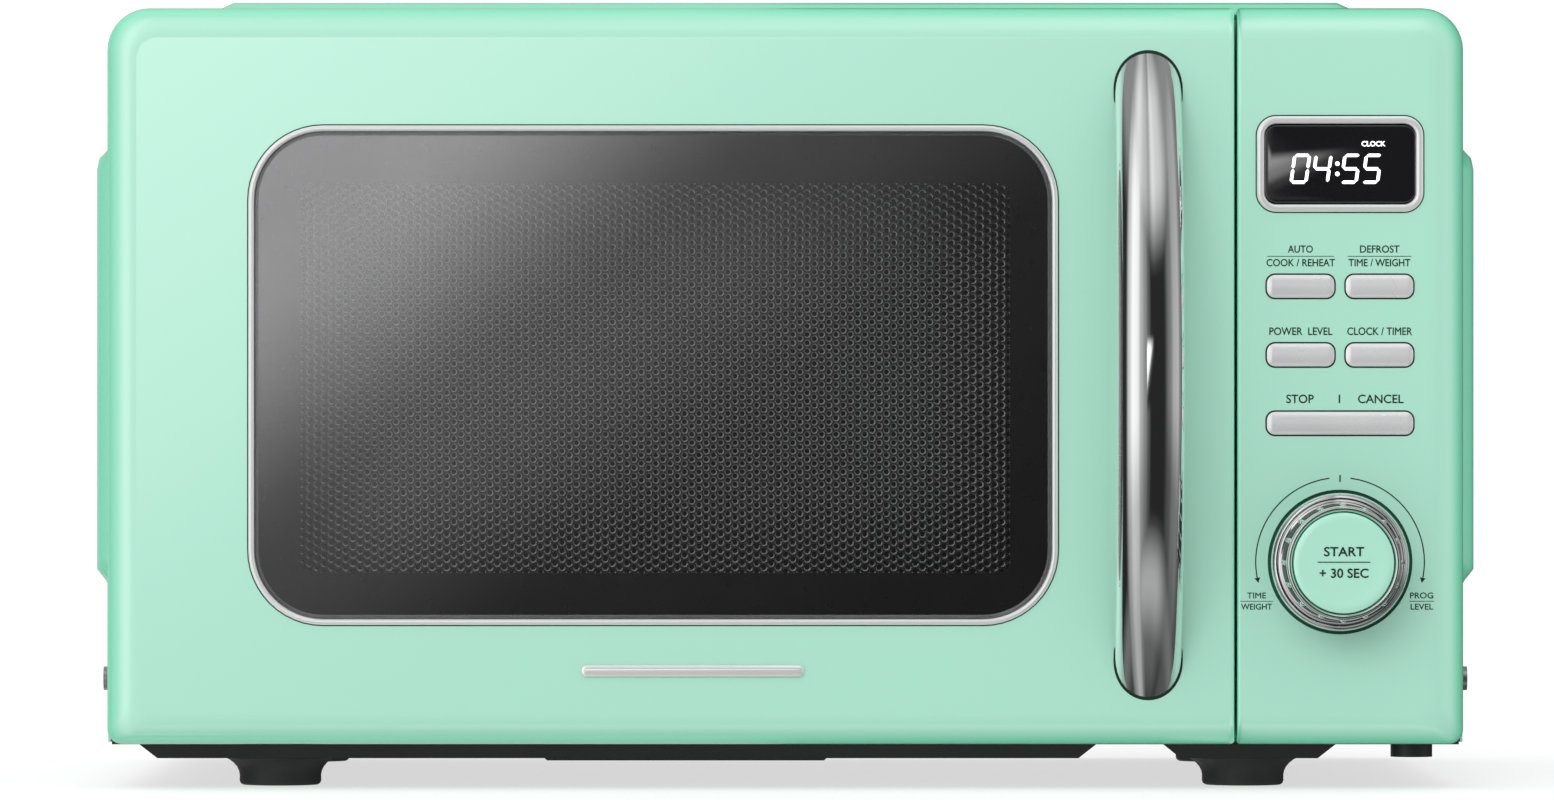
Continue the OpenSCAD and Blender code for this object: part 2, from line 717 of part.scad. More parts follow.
module door_frame() color(mint) {
    z = [front_z, top_z];
    difference() {
        rolled([left_x, door_x], [0, door_t], z, [4, 1.5, 1.5, crown_r],
            [edge_r, 1, 1, edge_r], [edge_r, 1.5, 1, 8]);
        rolled([left_x + wall, door_x - wall], [wall, door_t - wall], [z[0] + wall, z[1] - wall],
            [1.6, 0.8, 0.8, crown_r - wall], [edge_r - wall, 0.5, 0.5, edge_r - wall],
            [edge_r - wall, 0.8, 0.5, 8 - wall]);
        block([pin_x, door_t - wall - 1, z[0] + wall], [door_x - wall, door_t + 1, z[1] - wall]);
        slab_y(-1, wall + 1) rrect([win_x, win_z], trim_w - 2, trim_h - 2, trim_r - 1);
        hinge_notches(pin_x + 6);
        for (zs = handle_screw_z) rod_y(handle_x, -1, wall + 1, zs, 2.25);
    }
}

module window_trim() color(chrome) {
    mid = [win_x, win_z];
    difference() {
        union() {
            slab_y(-1, 0) rrect(mid, trim_w, trim_h, trim_r);
            slab_y(-0.1, 6) rrect(mid, trim_w - 2.4, trim_h - 2.4, trim_r - 1.2);
        }
        slab_y(-2, 7) rrect(mid, trim_w - 4, trim_h - 4, trim_r - 2);
    }
}

module window_glass() color([0.1, 0.1, 0.11, 0.75]) {
    slab_y(0.2, 4.2) rrect([win_x, win_z], trim_w - 4.2, trim_h - 4.2, trim_r - 2.1);
}

screen_d = 20;

module door_screen() color("#55585a") {
    slab_y(screen_d - 0.8, screen_d) rrect([win_x, win_z], 258, 152, 6);
}

module door_inner_panel() color("#8d9194") {
    x = [left_x + 18, door_x - 8];
    z = [front_z + 7, top_z - 6];
    d = [14, door_t - 3];
    mid = [win_x, win_z + 0.6];
    difference() {
        union() {
            difference() {
                slab_y(d[0], d[1]) rect4([x[0], z[0]], [x[1], z[1]], [4, 4, 4, 4]);
                slab_y(d[0] + sheet, d[1] + 1) rect4([x[0] + sheet, z[0] + sheet],
                    [x[1] - sheet, z[1] - sheet], [3, 3, 3, 3]);
            }
            slab_y(d[0], screen_d + sheet) rrect(mid, 292, 176, 10);
        }
        slab_y(d[0] - 1, screen_d) rrect(mid, 292 - 2 * sheet, 176 - 2 * sheet, 9);
        slab_y(d[0], screen_d + 3) rrect([win_x, win_z], 246, 140, 5);
    }
    // hinge lugs, one below the upper arm and one above the lower
    for (zl = [hinge_lo + 2.2, hinge_hi - 4.4]) {
        difference() {
            slab_z(zl, zl + 2.2) {
                translate([pin_x, dy(pin_d)]) circle(5);
                translate([pin_x, dy(pin_d - 5)]) square([11, 10]);
            }
            rod_z(pin_x, pin_d, zl - 1, zl + 4, pin_r + 0.05);
        }
    }
    // seat for the latch spring
    block([latch_x - 5, d[0] + sheet - 0.2, hook_z[1] + 44], [latch_x + 5, d[1] - 3, hook_z[1] + 45.5]);
}

module door_inner_window() color([0.7, 0.75, 0.76, 0.4]) {
    slab_y(screen_d + sheet, screen_d + 2) rrect([win_x, win_z + 0.6], 276, 160, 6);
}

module choke_cover() color("#1d1f20") {
    mid = [win_x, win_z + 0.6];
    difference() {
        union() {
            slab_y(door_t - 2.8, door_t - 0.2) rect4([pin_x + 0.4, front_z + wall + 0.6],
                [door_x - wall - 0.6, top_z - wall - 0.6], [2, 2, 4, 4]);
            slab_y(screen_d + 2.2, door_t - 2) rrect(mid, 271.6, 155.6, 9);
        }
        slab_y(screen_d, door_t + 1) rrect(mid, 268, 152, 7.2);
        latch_slots(0);
        hinge_notches(pin_x + 6);
    }
}

module door_badge() color(chrome) {
    slab_y(-1.2, 0) rrect([-30.8, front_z + 24.5], 74, 4, 1.9);
}

// The bar is a ring segment whose ends run into the door's face.
module door_handle() color(chrome) {
    reach = asin(handle_l / 2 / bow_r) + 4;
    difference() {
        translate([handle_x, dy(bow_r - handle_out), win_z]) rotate([0, 90, 0])
            rotate_extrude(angle = 2 * reach, start = 270 - reach, $fn = 180)
                rrect([bow_r - handle_t / 2, 0], handle_t, handle_w, handle_t / 2 - 0.5);
        block([handle_x - 30, 0, 0], [handle_x + 30, 60, top_z + 20]);
        for (z = handle_screw_z) rod_y(handle_x, -6.5, 1, z, 2.05);
    }
}

module handle_screws() color(steel) {
    for (z = handle_screw_z) {
        rod_y(handle_x, -6, wall + 0.1, z, 2);
        rod_y(handle_x, wall, wall + 2.6, z, 4);
    }
}

// A sliding plate with two hooks that reach through the front plate.
module latch_key() color("#d9d6cc") {
    block([latch_x - 1.2, 18, hook_z[0] - 12], [latch_x + 1.2, 29, hook_z[1] + 22]);
    for (z = hook_z) {
        block([latch_x - 1.5, 28, z - 3], [latch_x + 1.5, plate_d + 16, z + 5]);
        block([latch_x - 1.5, plate_d + 11, z - 7], [latch_x + 1.5, plate_d + 16, z - 2]);
    }
    block([latch_x - 4, 18, hook_z[1] + 20], [latch_x + 4, 28, hook_z[1] + 22]);
}

// A coil spring between the latch key and the door panel, swept as a tube of six sides.
module latch_spring() color(steel) {
    turns = 6;
    step = 24;
    wire = 0.45;
    r = 3;
    z0 = hook_z[1] + 22.2 + wire;
    rise = 21.6 - 2 * wire;
    n = turns * 360 / step;
    points = [
        for (i = [0:n]) let (a = i * step)
            for (k = [0:5]) let (b = k * 60, q = r + wire * cos(b))
                [q * cos(a), q * sin(a), rise * i / n + wire * sin(b)]
    ];
    faces = [
        [for (k = [0:5]) k],
        [for (k = [5:-1:0]) n * 6 + k],
        for (i = [0:n - 1], k = [0:5])
            [i * 6 + k, (i + 1) * 6 + k, (i + 1) * 6 + (k + 1) % 6, i * 6 + (k + 1) % 6]
    ];
    translate([latch_x, dy(23), z0]) polyhedron(points, faces, convexity = 10);
}

outer_cover();
base_plate();
back_panel();
foot(0, 0);  // front_left_foot
foot(1, 0);  // front_right_foot
foot(0, 1);  // rear_left_foot
foot(1, 1);  // rear_right_foot
cover_screws();
cavity();
cavity_front_plate();
hinge_bracket(hinge_hi, -1);  // hinge_bracket_upper
hinge_bracket(hinge_lo, 1);  // hinge_bracket_lower
waveguide();
waveguide_cover();
magnetron();
transformer_core();
transformer_windings();
capacitor();
hv_diode();
fan_motor();
fan_shroud();
fan_blade();
turntable_motor();
turntable_coupler();
roller_ring();
roller(1);  // roller_1
roller(2);  // roller_2
roller(3);  // roller_3
glass_tray();
cavity_lamp();
thermal_cutout();
latch_board();
interlock_switches();
filter_board();
cord_gland();
control_panel_fascia();
display_bezel();
display_window();
control_board();
rotary_encoder();
wiring_harness();
dial_ring();
start_button();
push_button(col_l, row1_z, btn_w);  // cook_button
push_button(col_r, row1_z, btn_w);  // defrost_button
push_button(col_l, row2_z, btn_w);  // power_button
push_button(col_r, row2_z, btn_w);  // clock_button
push_button(ctrl_x, stop_z, col_r - col_l + btn_w);  // stop_button
door_frame();
window_trim();
window_glass();
door_screen();
door_inner_panel();
door_inner_window();
choke_cover();
door_badge();
door_handle();
handle_screws();
latch_key();
latch_spring();
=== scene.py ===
"""Looks of the microwave oven: camera, studio, materials and detailed pieces round the CAD frame.

Metres, +Z up, the door faces -Y. MM turns the millimetres written here into metres.
"""
import json
import math

import bmesh
import bpy
import numpy as np
from mathutils import Matrix, Vector


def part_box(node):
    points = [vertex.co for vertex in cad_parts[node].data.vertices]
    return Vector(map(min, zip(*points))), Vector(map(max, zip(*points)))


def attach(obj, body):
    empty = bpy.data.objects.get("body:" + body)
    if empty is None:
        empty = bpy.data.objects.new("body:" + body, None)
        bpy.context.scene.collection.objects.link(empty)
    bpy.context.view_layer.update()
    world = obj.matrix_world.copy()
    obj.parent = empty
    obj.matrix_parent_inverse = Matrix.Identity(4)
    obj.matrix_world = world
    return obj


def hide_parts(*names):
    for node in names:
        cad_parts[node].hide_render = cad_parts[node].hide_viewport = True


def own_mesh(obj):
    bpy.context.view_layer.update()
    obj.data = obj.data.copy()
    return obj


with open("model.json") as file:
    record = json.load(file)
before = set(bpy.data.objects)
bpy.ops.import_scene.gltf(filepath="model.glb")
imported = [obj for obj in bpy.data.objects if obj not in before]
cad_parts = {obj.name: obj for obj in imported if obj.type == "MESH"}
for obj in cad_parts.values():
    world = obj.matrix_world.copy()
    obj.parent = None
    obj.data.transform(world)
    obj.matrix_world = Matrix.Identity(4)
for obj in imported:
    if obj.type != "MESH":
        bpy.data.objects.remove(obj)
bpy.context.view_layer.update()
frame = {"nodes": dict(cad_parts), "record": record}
NODES = frame["nodes"]
MM = 0.001


def span(node):
    """A CAD node's (x0, x1), (y0, y1), (z0, z1)."""
    low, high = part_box(node)
    return (low.x, high.x), (low.y, high.y), (low.z, high.z)


def middle(node):
    low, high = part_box(node)
    return (low + high) / 2


def link(name, data):
    """A new object in the scene."""
    item = bpy.data.objects.new(name, data)
    bpy.context.scene.collection.objects.link(item)
    return item


def new_mesh(name, points, faces):
    mesh = bpy.data.meshes.new(name)
    mesh.from_pydata(points, [], faces)
    return mesh


DOOR_X, DOOR_Y, DOOR_Z = span("door_frame")
PANEL_X, PANEL_Y, PANEL_Z = span("control_panel_fascia")
FACE_Y = DOOR_Y[0]

# ---- camera, lights and stage ----------------------------------------------

VIEW_DISTANCE = 3.5
VIEW_WIDTH = 0.5142
EYE = Vector((-0.0028, FACE_Y - VIEW_DISTANCE, 0.1294))
SENSOR = 36.0


def make_camera():
    data = bpy.data.cameras.new("camera")
    data.sensor_width = SENSOR
    data.lens = SENSOR * VIEW_DISTANCE / VIEW_WIDTH
    data.clip_start, data.clip_end = 0.1, 100
    camera = link("camera", data)
    camera.location = EYE
    camera.rotation_euler = (math.radians(90), 0, 0)
    bpy.context.scene.camera = camera


def new_material(name):
    material = bpy.data.materials.new(name)
    material.use_nodes = True
    tree = material.node_tree
    return material, tree, tree.nodes["Principled BSDF"]


def axis_of(tree, source, axis):
    """One axis of the texture coordinates called source."""
    coords = tree.nodes.new("ShaderNodeTexCoord")
    split = tree.nodes.new("ShaderNodeSeparateXYZ")
    tree.links.new(coords.outputs[source], split.inputs[0])
    return split.outputs[axis]


def maths(tree, operation, *values):
    """A maths node; each value is a number or a socket to read."""
    node = tree.nodes.new("ShaderNodeMath")
    node.operation = operation
    for socket, value in zip(node.inputs, values):
        if isinstance(value, (int, float)):
            socket.default_value = value
        else:
            tree.links.new(value, socket)
    return node.outputs[0]


def make_world(level, lean, lift):
    """Sky whose brightness leans to the left and lifts towards the top."""
    world = bpy.data.worlds.new("studio")
    world.use_nodes = True
    tree = world.node_tree
    across = maths(tree, "MULTIPLY_ADD", axis_of(tree, "Generated", "X"), -lean, level)
    up = maths(tree, "MULTIPLY_ADD", axis_of(tree, "Generated", "Z"), lift, across)
    back = tree.nodes["Background"]
    back.inputs["Color"].default_value = (1, 1, 1, 1)
    tree.links.new(up, back.inputs["Strength"])
    bpy.context.scene.world = world


FLOOR_HALF = 30
FLOOR_Z = -0.2 * MM


def make_floor():
    """A light table: it glows evenly from below, so shadows on it stay soft and pale."""
    material, tree, shader = new_material("floor")
    vary(tree, shader, "Base Color", (0.30, 0.30, 0.30), (0.34, 0.34, 0.34), 3)
    shader.inputs["Roughness"].default_value = 0.9
    shader.inputs["Specular IOR Level"].default_value = 0.1
    shader.inputs["Emission Color"].default_value = (1, 1, 1, 1)
    shader.inputs["Emission Strength"].default_value = 0.66
    corners = [(x * FLOOR_HALF, y * FLOOR_HALF, FLOOR_Z)
               for x, y in ((-1, -1), (1, -1), (1, 1), (-1, 1))]
    mesh = new_mesh("floor", corners, [(0, 1, 2, 3)])
    mesh.materials.append(material)
    floor = link("floor", mesh)
    floor.visible_glossy = False


def area_light(name, spot, aim, size, power):
    data = bpy.data.lights.new(name, "AREA")
    data.shape = "RECTANGLE"
    data.size, data.size_y = size
    data.energy = power
    light = link(name, data)
    light.location = spot
    light.rotation_euler = (Vector(aim) - Vector(spot)).to_track_quat("-Z", "Y").to_euler()
    return light


def blend_stops(value, stops):
    """Reads a smooth curve through (value, level) stops."""
    if value <= stops[0][0]:
        return stops[0][1]
    for (v0, a), (v1, b) in zip(stops, stops[1:]):
        if value <= v1:
            t = (value - v0) / (v1 - v0)
            return a + (b - a) * t * t * (3 - 2 * t)
    return stops[-1][1]


DOME_R = 5.5
FINE_TO = 14


def dome_level(x, y, z):
    """How bright the studio looks in a reflection, towards a point of the dome."""
    turn = math.degrees(math.atan2(x, -y))
    lift = math.degrees(math.asin(max(-1, min(1, z / DOME_R))))
    # a tall softbox to the left, a paler one to the right, black flags beyond and between
    left = blend_stops(turn, [(-76, 0.0), (-60, 0.6), (-46, 1.0), (-33, 0.92), (-22, 0.42),
                              (-12, 0.24), (-5, 0.09), (2, 0.0)])
    left *= blend_stops(lift, [(-60, 0.40), (-30, 0.55), (-5, 1.0), (35, 1.0), (66, 0.5)])
    right = blend_stops(turn, [(31, 0.0), (48, 0.18), (64, 0.42), (80, 0.46), (94, 0.22),
                               (108, 0.05)])
    right *= blend_stops(lift, [(-50, 0.15), (-20, 0.35), (0, 1.0), (40, 0.8), (65, 0.35)])
    behind = blend_stops(-turn, [(112, 0.0), (150, 0.45)])
    level = 0.02 + max(left, right, behind)
    # overhead softbox, and the pale floor below
    over = blend_stops(lift, [(22, 0.0), (46, 0.85), (62, 0.85), (80, 0.5)])
    over *= blend_stops(turn, [(-70, 0.3), (-36, 0.9), (-12, 0.6), (-3, 0.45), (9, 0.9),
                               (24, 0.75), (60, 0.3)])
    under = blend_stops(-lift, [(28, 0.0), (46, 0.4), (64, 0.12), (84, 0.04)])
    under *= blend_stops(abs(turn - 2), [(16, 1.0), (55, 0.4)])
    level = max(level, over, under)
    # the gradient card behind the camera, as the flat front mirrors it
    run = x * 0.62 - (z - 0.14) * 0.78
    card = blend_stops(run, [(-0.62, 1.6), (-0.36, 1.0), (-0.16, 0.18), (0.02, 0.04), (0.24, 0.02)])
    edge = blend_stops(abs(turn), [(6.5, 1.0), (9.5, 0.0)])
    edge *= blend_stops(abs(lift - 1.5), [(5.0, 1.0), (9.0, 0.0)])
    return level + (card - level) * edge


def make_dome():
    """What chrome, gloss and glass mirror: seen by reflections alone."""
    def lines(fine, coarse, limit):
        """Angles from -limit to limit, finer near 0, where the card's soft edge lies."""
        inner = [fine * k for k in range(int(FINE_TO / fine) + 1)]
        outer = []
        at = inner[-1] + coarse
        while at < limit:
            outer.append(at)
            at += coarse
        half = inner + outer + [limit]
        return [-v for v in half[:0:-1]] + half

    turns, lifts = lines(0.5, 3.0, 180), lines(0.5, 3.0, 90)
    points, levels = [], []
    for lift in lifts:
        for turn in turns:
            a, e = math.radians(turn), math.radians(lift)
            x, y, z = math.sin(a) * math.cos(e), -math.cos(a) * math.cos(e), math.sin(e)
            points.append((x * DOME_R, y * DOME_R, z * DOME_R))
            levels.append(dome_level(*points[-1]))
    n = len(turns)
    faces = [(r * n + c, r * n + c + 1, (r + 1) * n + c + 1, (r + 1) * n + c)
             for r in range(len(lifts) - 1) for c in range(n - 1)]
    mesh = new_mesh("dome", points, faces)
    shade = mesh.attributes.new("level", "FLOAT", "POINT")
    shade.data.foreach_set("value", levels)
    material = bpy.data.materials.new("dome")
    material.use_nodes = True
    tree = material.node_tree
    tree.nodes.clear()
    read = tree.nodes.new("ShaderNodeAttribute")
    read.attribute_name = "level"
    glow = tree.nodes.new("ShaderNodeEmission")
    out = tree.nodes.new("ShaderNodeOutputMaterial")
    tree.links.new(read.outputs["Fac"], glow.inputs["Strength"])
    tree.links.new(glow.outputs[0], out.inputs["Surface"])
    mesh.materials.append(material)
    dome = link("dome", mesh)
    dome.visible_camera = False
    dome.visible_diffuse = False
    dome.visible_shadow = False
    dome.visible_transmission = False


# ---- mesh helpers ----------------------------------------------------------


def finish_mesh(piece, material, angle=32):
    """Smooth shading that breaks at edges sharper than angle."""
    mesh = piece.data
    mesh.materials.clear()
    mesh.materials.append(material)
    mesh.polygons.foreach_set("use_smooth", [True] * len(mesh.polygons))
    mesh.set_sharp_from_angle(angle=math.radians(angle))
    mesh.update()
    return piece


def four(value):
    """One number for each side or corner."""
    return (value,) * 4 if np.isscalar(value) else value


def outline(box, radii, y, arc=8, run=4):
    """Points round a rounded rectangle, anticlockwise from the lower left as the front shows it.

    box is (x0, z0, x1, z1); radii and a y given as four numbers are for the corners and
    the sides in that order: lower left, lower right, upper right, upper left, and
    bottom, right, top, left.
    """
    x0, z0, x1, z1 = box
    sides, radii = four(y), four(radii)
    corners = [
        (x0 + radii[0], z0 + radii[0], 180), (x1 - radii[1], z0 + radii[1], 270),
        (x1 - radii[2], z1 - radii[2], 0), (x0 + radii[3], z1 - radii[3], 90),
    ]
    arcs = []
    for k, (cx, cz, start) in enumerate(corners):
        before, after = sides[k - 1], sides[k]
        points = []
        for i in range(arc + 1):
            t = i / arc
            a = math.radians(start + 90 * t)
            ease = t * t * (3 - 2 * t)
            points.append((cx + radii[k] * math.cos(a), before + (after - before) * ease,
                           cz + radii[k] * math.sin(a)))
        arcs.append(points)
    ring = []
    for k in range(4):
        ring += arcs[k]
        a, b = Vector(arcs[k][-1]), Vector(arcs[(k + 1) % 4][0])
        ring += [tuple(a.lerp(b, i / run)) for i in range(1, run)]
    return ring


def loft(name, rings, material, closed=False, capped=True, angle=32):
    """A skin through rings of equally many points.

    It is capped at both ends, or open there, or closed by joining the last ring to the first.
    """
    count = len(rings[0])
    points = [p for ring in rings for p in ring]
    faces = []
    for k in range(len(rings) - (0 if closed else 1)):
        a, b = k * count, (k + 1) % len(rings) * count
        faces += [(a + i, a + (i + 1) % count, b + (i + 1) % count, b + i) for i in range(count)]
    if capped and not closed:
        faces.append(tuple(range(count))[::-1])
        faces.append(tuple((len(rings) - 1) * count + i for i in range(count)))
    mesh = new_mesh(name, points, faces)
    tidy = bmesh.new()
    tidy.from_mesh(mesh)
    bmesh.ops.remove_doubles(tidy, verts=tidy.verts, dist=1e-7)
    bmesh.ops.recalc_face_normals(tidy, faces=tidy.faces)
    tidy.to_mesh(mesh)
    tidy.free()
    return finish_mesh(link(name, mesh), material, angle)


def inset(box, by):
    """A box drawn in, by one amount or by four: bottom, right, top, left."""
    bottom, right, top, left = four(by)
    return (box[0] + left, box[1] + bottom, box[2] - right, box[3] - top)


LEAST_R = 0.2 * MM


def roll(box, radii, y, depth, draw_in, steps=8, arc=8, run=4, flat=None):
    """Rings from a side wall over a rolled edge to the flat at y, one quarter turn.

    depth is how far back the wall starts and draw_in how far in the flat starts, each
    one number or four, one for each side. flat gives the corner radii at the flat; without
    it a corner shrinks as it is drawn in.
    """
    depth, draw_in, radii = four(depth), four(draw_in), four(radii)
    rings = []
    for k in range(steps + 1):
        t = math.pi / 2 * k / steps
        drawn = [d * (1 - math.cos(t)) for d in draw_in]
        ys = [y + d * (1 - math.sin(t)) for d in depth]
        ease = 1 - math.cos(t)
        if flat:
            corner = [radii[i] + (flat[i] - radii[i]) * ease for i in range(4)]
        else:
            corner = [max(radii[i] - (drawn[i - 1] + drawn[i]) / 2, LEAST_R) for i in range(4)]
        rings.append(outline(inset(box, drawn), corner, ys, arc, run))
    return rings


def corner_at_flat(edges, k):
    """Corner radius where a rolled edge runs out into the flat: wide between two wide rolls."""
    return max(LEAST_R, 0.7 * min(edges[k - 1], edges[k]))


def between(a, b, steps):
    """Rings evenly between two rings, without either."""
    return [[tuple(Vector(p).lerp(Vector(q), k / steps)) for p, q in zip(a, b)]
            for k in range(1, steps)]


def front_box(node, by=0):
    """A node's box as the front shows it, (x0, z0, x1, z1), drawn in."""
    (x0, x1), _, (z0, z1) = span(node)
    return inset((x0, z0, x1, z1), by)


def carve(piece, cutters, operation="DIFFERENCE"):
    """Takes the cutters out of a piece, or keeps what lies in them, and removes them."""
    for cutter in cutters:
        change = piece.modifiers.new("carve", "BOOLEAN")
        change.object = cutter
        change.operation = operation
        change.solver = "EXACT"
    depsgraph = bpy.context.evaluated_depsgraph_get()
    mesh = bpy.data.meshes.new_from_object(piece.evaluated_get(depsgraph))
    piece.modifiers.clear()
    piece.data = mesh
    for cutter in cutters:
        bpy.data.objects.remove(cutter)


def join(name, pieces):
    """One object from several, in place, keeping their materials."""
    bm = bmesh.new()
    materials = []
    for piece in pieces:
        start = len(bm.faces)
        slots = []
        for m in piece.data.materials:
            if m not in materials:
                materials.append(m)
            slots.append(materials.index(m))
        copy = piece.data.copy()
        copy.transform(piece.matrix_world)
        bm.from_mesh(copy)
        bm.faces.ensure_lookup_table()
        for face in bm.faces[start:]:
            face.material_index = slots[face.material_index] if slots else 0
        bpy.data.meshes.remove(copy)
        bpy.data.objects.remove(piece)
    mesh = bpy.data.meshes.new(name)
    bm.to_mesh(mesh)
    bm.free()
    for m in materials:
        mesh.materials.append(m)
    return link(name, mesh)


def flat_print(name, bm, material, body, slot):
    """Ink or light on a surface, from a bmesh of flat faces."""
    mesh = bpy.data.meshes.new(name)
    bm.to_mesh(mesh)
    bm.free()
    place(finish_mesh(link(name, mesh), material), body, slot)


def block(name, low, high, material):
    """A plain box for cutting with."""
    (x0, y0, z0), (x1, y1, z1) = low, high
    rings = [[(x0, y, z0), (x1, y, z0), (x1, y, z1), (x0, y, z1)] for y in (y0, y1)]
    return loft(name, rings, material)


def lathe(name, centre, axis, profile, material, steps=96, angle=32, ends=True):
    """A turned shape. profile is (radius, distance along axis) in mm, from end to end."""
    turn = Vector(axis).to_track_quat("Z", "Y")
    rings = []
    for radius, along in profile:
        ring = []
        for i in range(steps):
            a = 2 * math.pi * i / steps
            local = Vector((radius * math.cos(a), radius * math.sin(a), along)) * MM
            ring.append(tuple(Vector(centre) + turn @ local))
        rings.append(ring)
    return loft(name, rings, material, capped=ends, angle=angle)


def place(piece, body, slot, *replaced):
    """A piece rides on a body and stands for CAD nodes, which are hidden; slot is not used."""
    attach(piece, body)
    if replaced:
        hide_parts(*replaced)
    return piece


# ---- materials -------------------------------------------------------------


def noise_field(tree, scale, detail, stretch=None):
    """A noise in the object's own coordinates."""
    coords = tree.nodes.new("ShaderNodeTexCoord")
    noise = tree.nodes.new("ShaderNodeTexNoise")
    noise.inputs["Scale"].default_value = scale
    noise.inputs["Detail"].default_value = detail
    source = coords.outputs["Object"]
    if stretch:
        mapping = tree.nodes.new("ShaderNodeMapping")
        mapping.inputs["Scale"].default_value = stretch
        tree.links.new(source, mapping.inputs["Vector"])
        source = mapping.outputs["Vector"]
    tree.links.new(source, noise.inputs["Vector"])
    return noise.outputs["Fac"]


def color_ramp(tree, fac, stops):
    """A ramp between two (position, colour) stops, read at fac."""
    ramp = tree.nodes.new("ShaderNodeValToRGB")
    for element, (at, color) in zip(ramp.color_ramp.elements, stops):
        element.position = at
        element.color = (*color, 1)
    tree.links.new(fac, ramp.inputs["Fac"])
    return ramp


def add_bump(tree, shader, scale, strength, detail=2.0, stretch=None):
    """A fine relief."""
    bump = tree.nodes.new("ShaderNodeBump")
    bump.inputs["Strength"].default_value = strength
    bump.inputs["Distance"].default_value = 0.1 * MM
    tree.links.new(noise_field(tree, scale, detail, stretch), bump.inputs["Height"])
    tree.links.new(bump.outputs["Normal"], shader.inputs["Normal"])


def vary(tree, shader, socket, low, high, scale, stretch=None):
    """A socket wanders between two values or colours over the surface."""
    low, high = [v if hasattr(v, "__len__") else (v,) * 3 for v in (low, high)]
    ramp = color_ramp(tree, noise_field(tree, scale, 3.0, stretch), [(0.2, low), (0.8, high)])
    tree.links.new(ramp.outputs["Color"], shader.inputs[socket])


def tint(color, by):
    return tuple(min(1.0, c * by) for c in color)


def surface(name, color, rough, metallic, spread, grain, relief, patch, coat=0.0, stretch=None):
    """The general material: a slightly uneven colour and roughness over a fine relief."""
    material, tree, shader = new_material(name)
    vary(tree, shader, "Base Color", tint(color, 1 - spread), tint(color, 1 + spread), patch)
    vary(tree, shader, "Roughness", rough * 0.8, min(1.0, rough * 1.25), patch * 4, stretch)
    shader.inputs["Metallic"].default_value = metallic
    if coat:
        shader.inputs["Coat Weight"].default_value = coat
        shader.inputs["Coat Roughness"].default_value = 0.04
    add_bump(tree, shader, grain, relief, stretch=stretch)
    return material


# colour, roughness, metal, spread of the colour, grain scale, relief, patch scale, coat
FINISHES = {
    "chrome": ((0.93, 0.94, 0.94), 0.05, 1.0, 0.01, 120, 0.006, 30),
    "satin": ((0.80, 0.80, 0.81), 0.26, 0.55, 0.01, 60, 0.004, 8),
    "trim": ((0.90, 0.905, 0.91), 0.10, 0.6, 0.01, 60, 0.004, 8),
    "steel": ((0.58, 0.59, 0.60), 0.32, 1.0, 0.05, 500, 0.15, 18),
    "black_paint": ((0.020, 0.020, 0.020), 0.45, 0.0, 0.15, 1600, 0.3, 25),
    "grey_paint": ((0.060, 0.062, 0.065), 0.5, 0.0, 0.1, 1500, 0.3, 20),
    "enamel": ((0.36, 0.365, 0.37), 0.28, 0.0, 0.03, 900, 0.2, 12, 0.3),
    "black_plastic": ((0.018, 0.018, 0.019), 0.42, 0.0, 0.12, 2200, 0.25, 30),
    "white_plastic": ((0.74, 0.72, 0.66), 0.4, 0.0, 0.03, 1800, 0.12, 30),
    "brown_plastic": ((0.11, 0.055, 0.035), 0.45, 0.0, 0.1, 1800, 0.15, 30),
    "foot_rubber": ((0.028, 0.028, 0.028), 0.62, 0.0, 0.2, 2600, 0.5, 60),
    "laminations": ((0.085, 0.088, 0.095), 0.45, 0.6, 0.2, 900, 0.6, 40),
    "copper_wire": ((0.50, 0.19, 0.075), 0.3, 0.9, 0.15, 600, 0.8, 40),
    "aluminium": ((0.66, 0.67, 0.68), 0.35, 1.0, 0.05, 700, 0.15, 20),
    "circuit_board": ((0.02, 0.14, 0.055), 0.4, 0.0, 0.2, 500, 0.3, 120, 0.3),
    "mica": ((0.42, 0.33, 0.20), 0.55, 0.0, 0.2, 300, 0.3, 60),
    "wire_sheath": ((0.26, 0.02, 0.018), 0.4, 0.0, 0.15, 1200, 0.2, 50),
    "screen_paint": ((0.045, 0.045, 0.046), 0.4, 0.0, 0.1, 900, 0.1, 80),
    "punched_edge": ((0.88, 0.88, 0.88), 0.28, 1.0, 0.05, 900, 0.02, 80),
    # painted shade: the dark green seen in the shaded gap round the dial
    "dial_gap_shade": ((0.012, 0.12, 0.075), 0.6, 0.0, 0.1, 1500, 0.1, 60),
    "print": ((0.003, 0.018, 0.012), 0.5, 0.0, 0.1, 2500, 0.1, 90),
    # painted shade: the near-black green of mint deep in a joint, for lines and rings laid where
    # joints are shaded
    "gap_shade": ((0.004, 0.018, 0.012), 0.7, 0.0, 0.2, 1500, 0.2, 60),
    "border": ((0.012, 0.012, 0.013), 0.3, 0.0, 0.1, 1500, 0.05, 60),
}
# how far the grain of brushed, laminated and wound pieces is drawn out along an axis
STRETCH = {"steel": (1, 1, 12), "laminations": (1, 40, 1), "copper_wire": (1, 1, 9)}

MINT = (0.325, 0.612, 0.486)
# painted shade: this darker, deeper mint is laid on the rolled edges and the sides, where they turn
# away from the front
MINT_SHADE = (0.165, 0.650, 0.415)


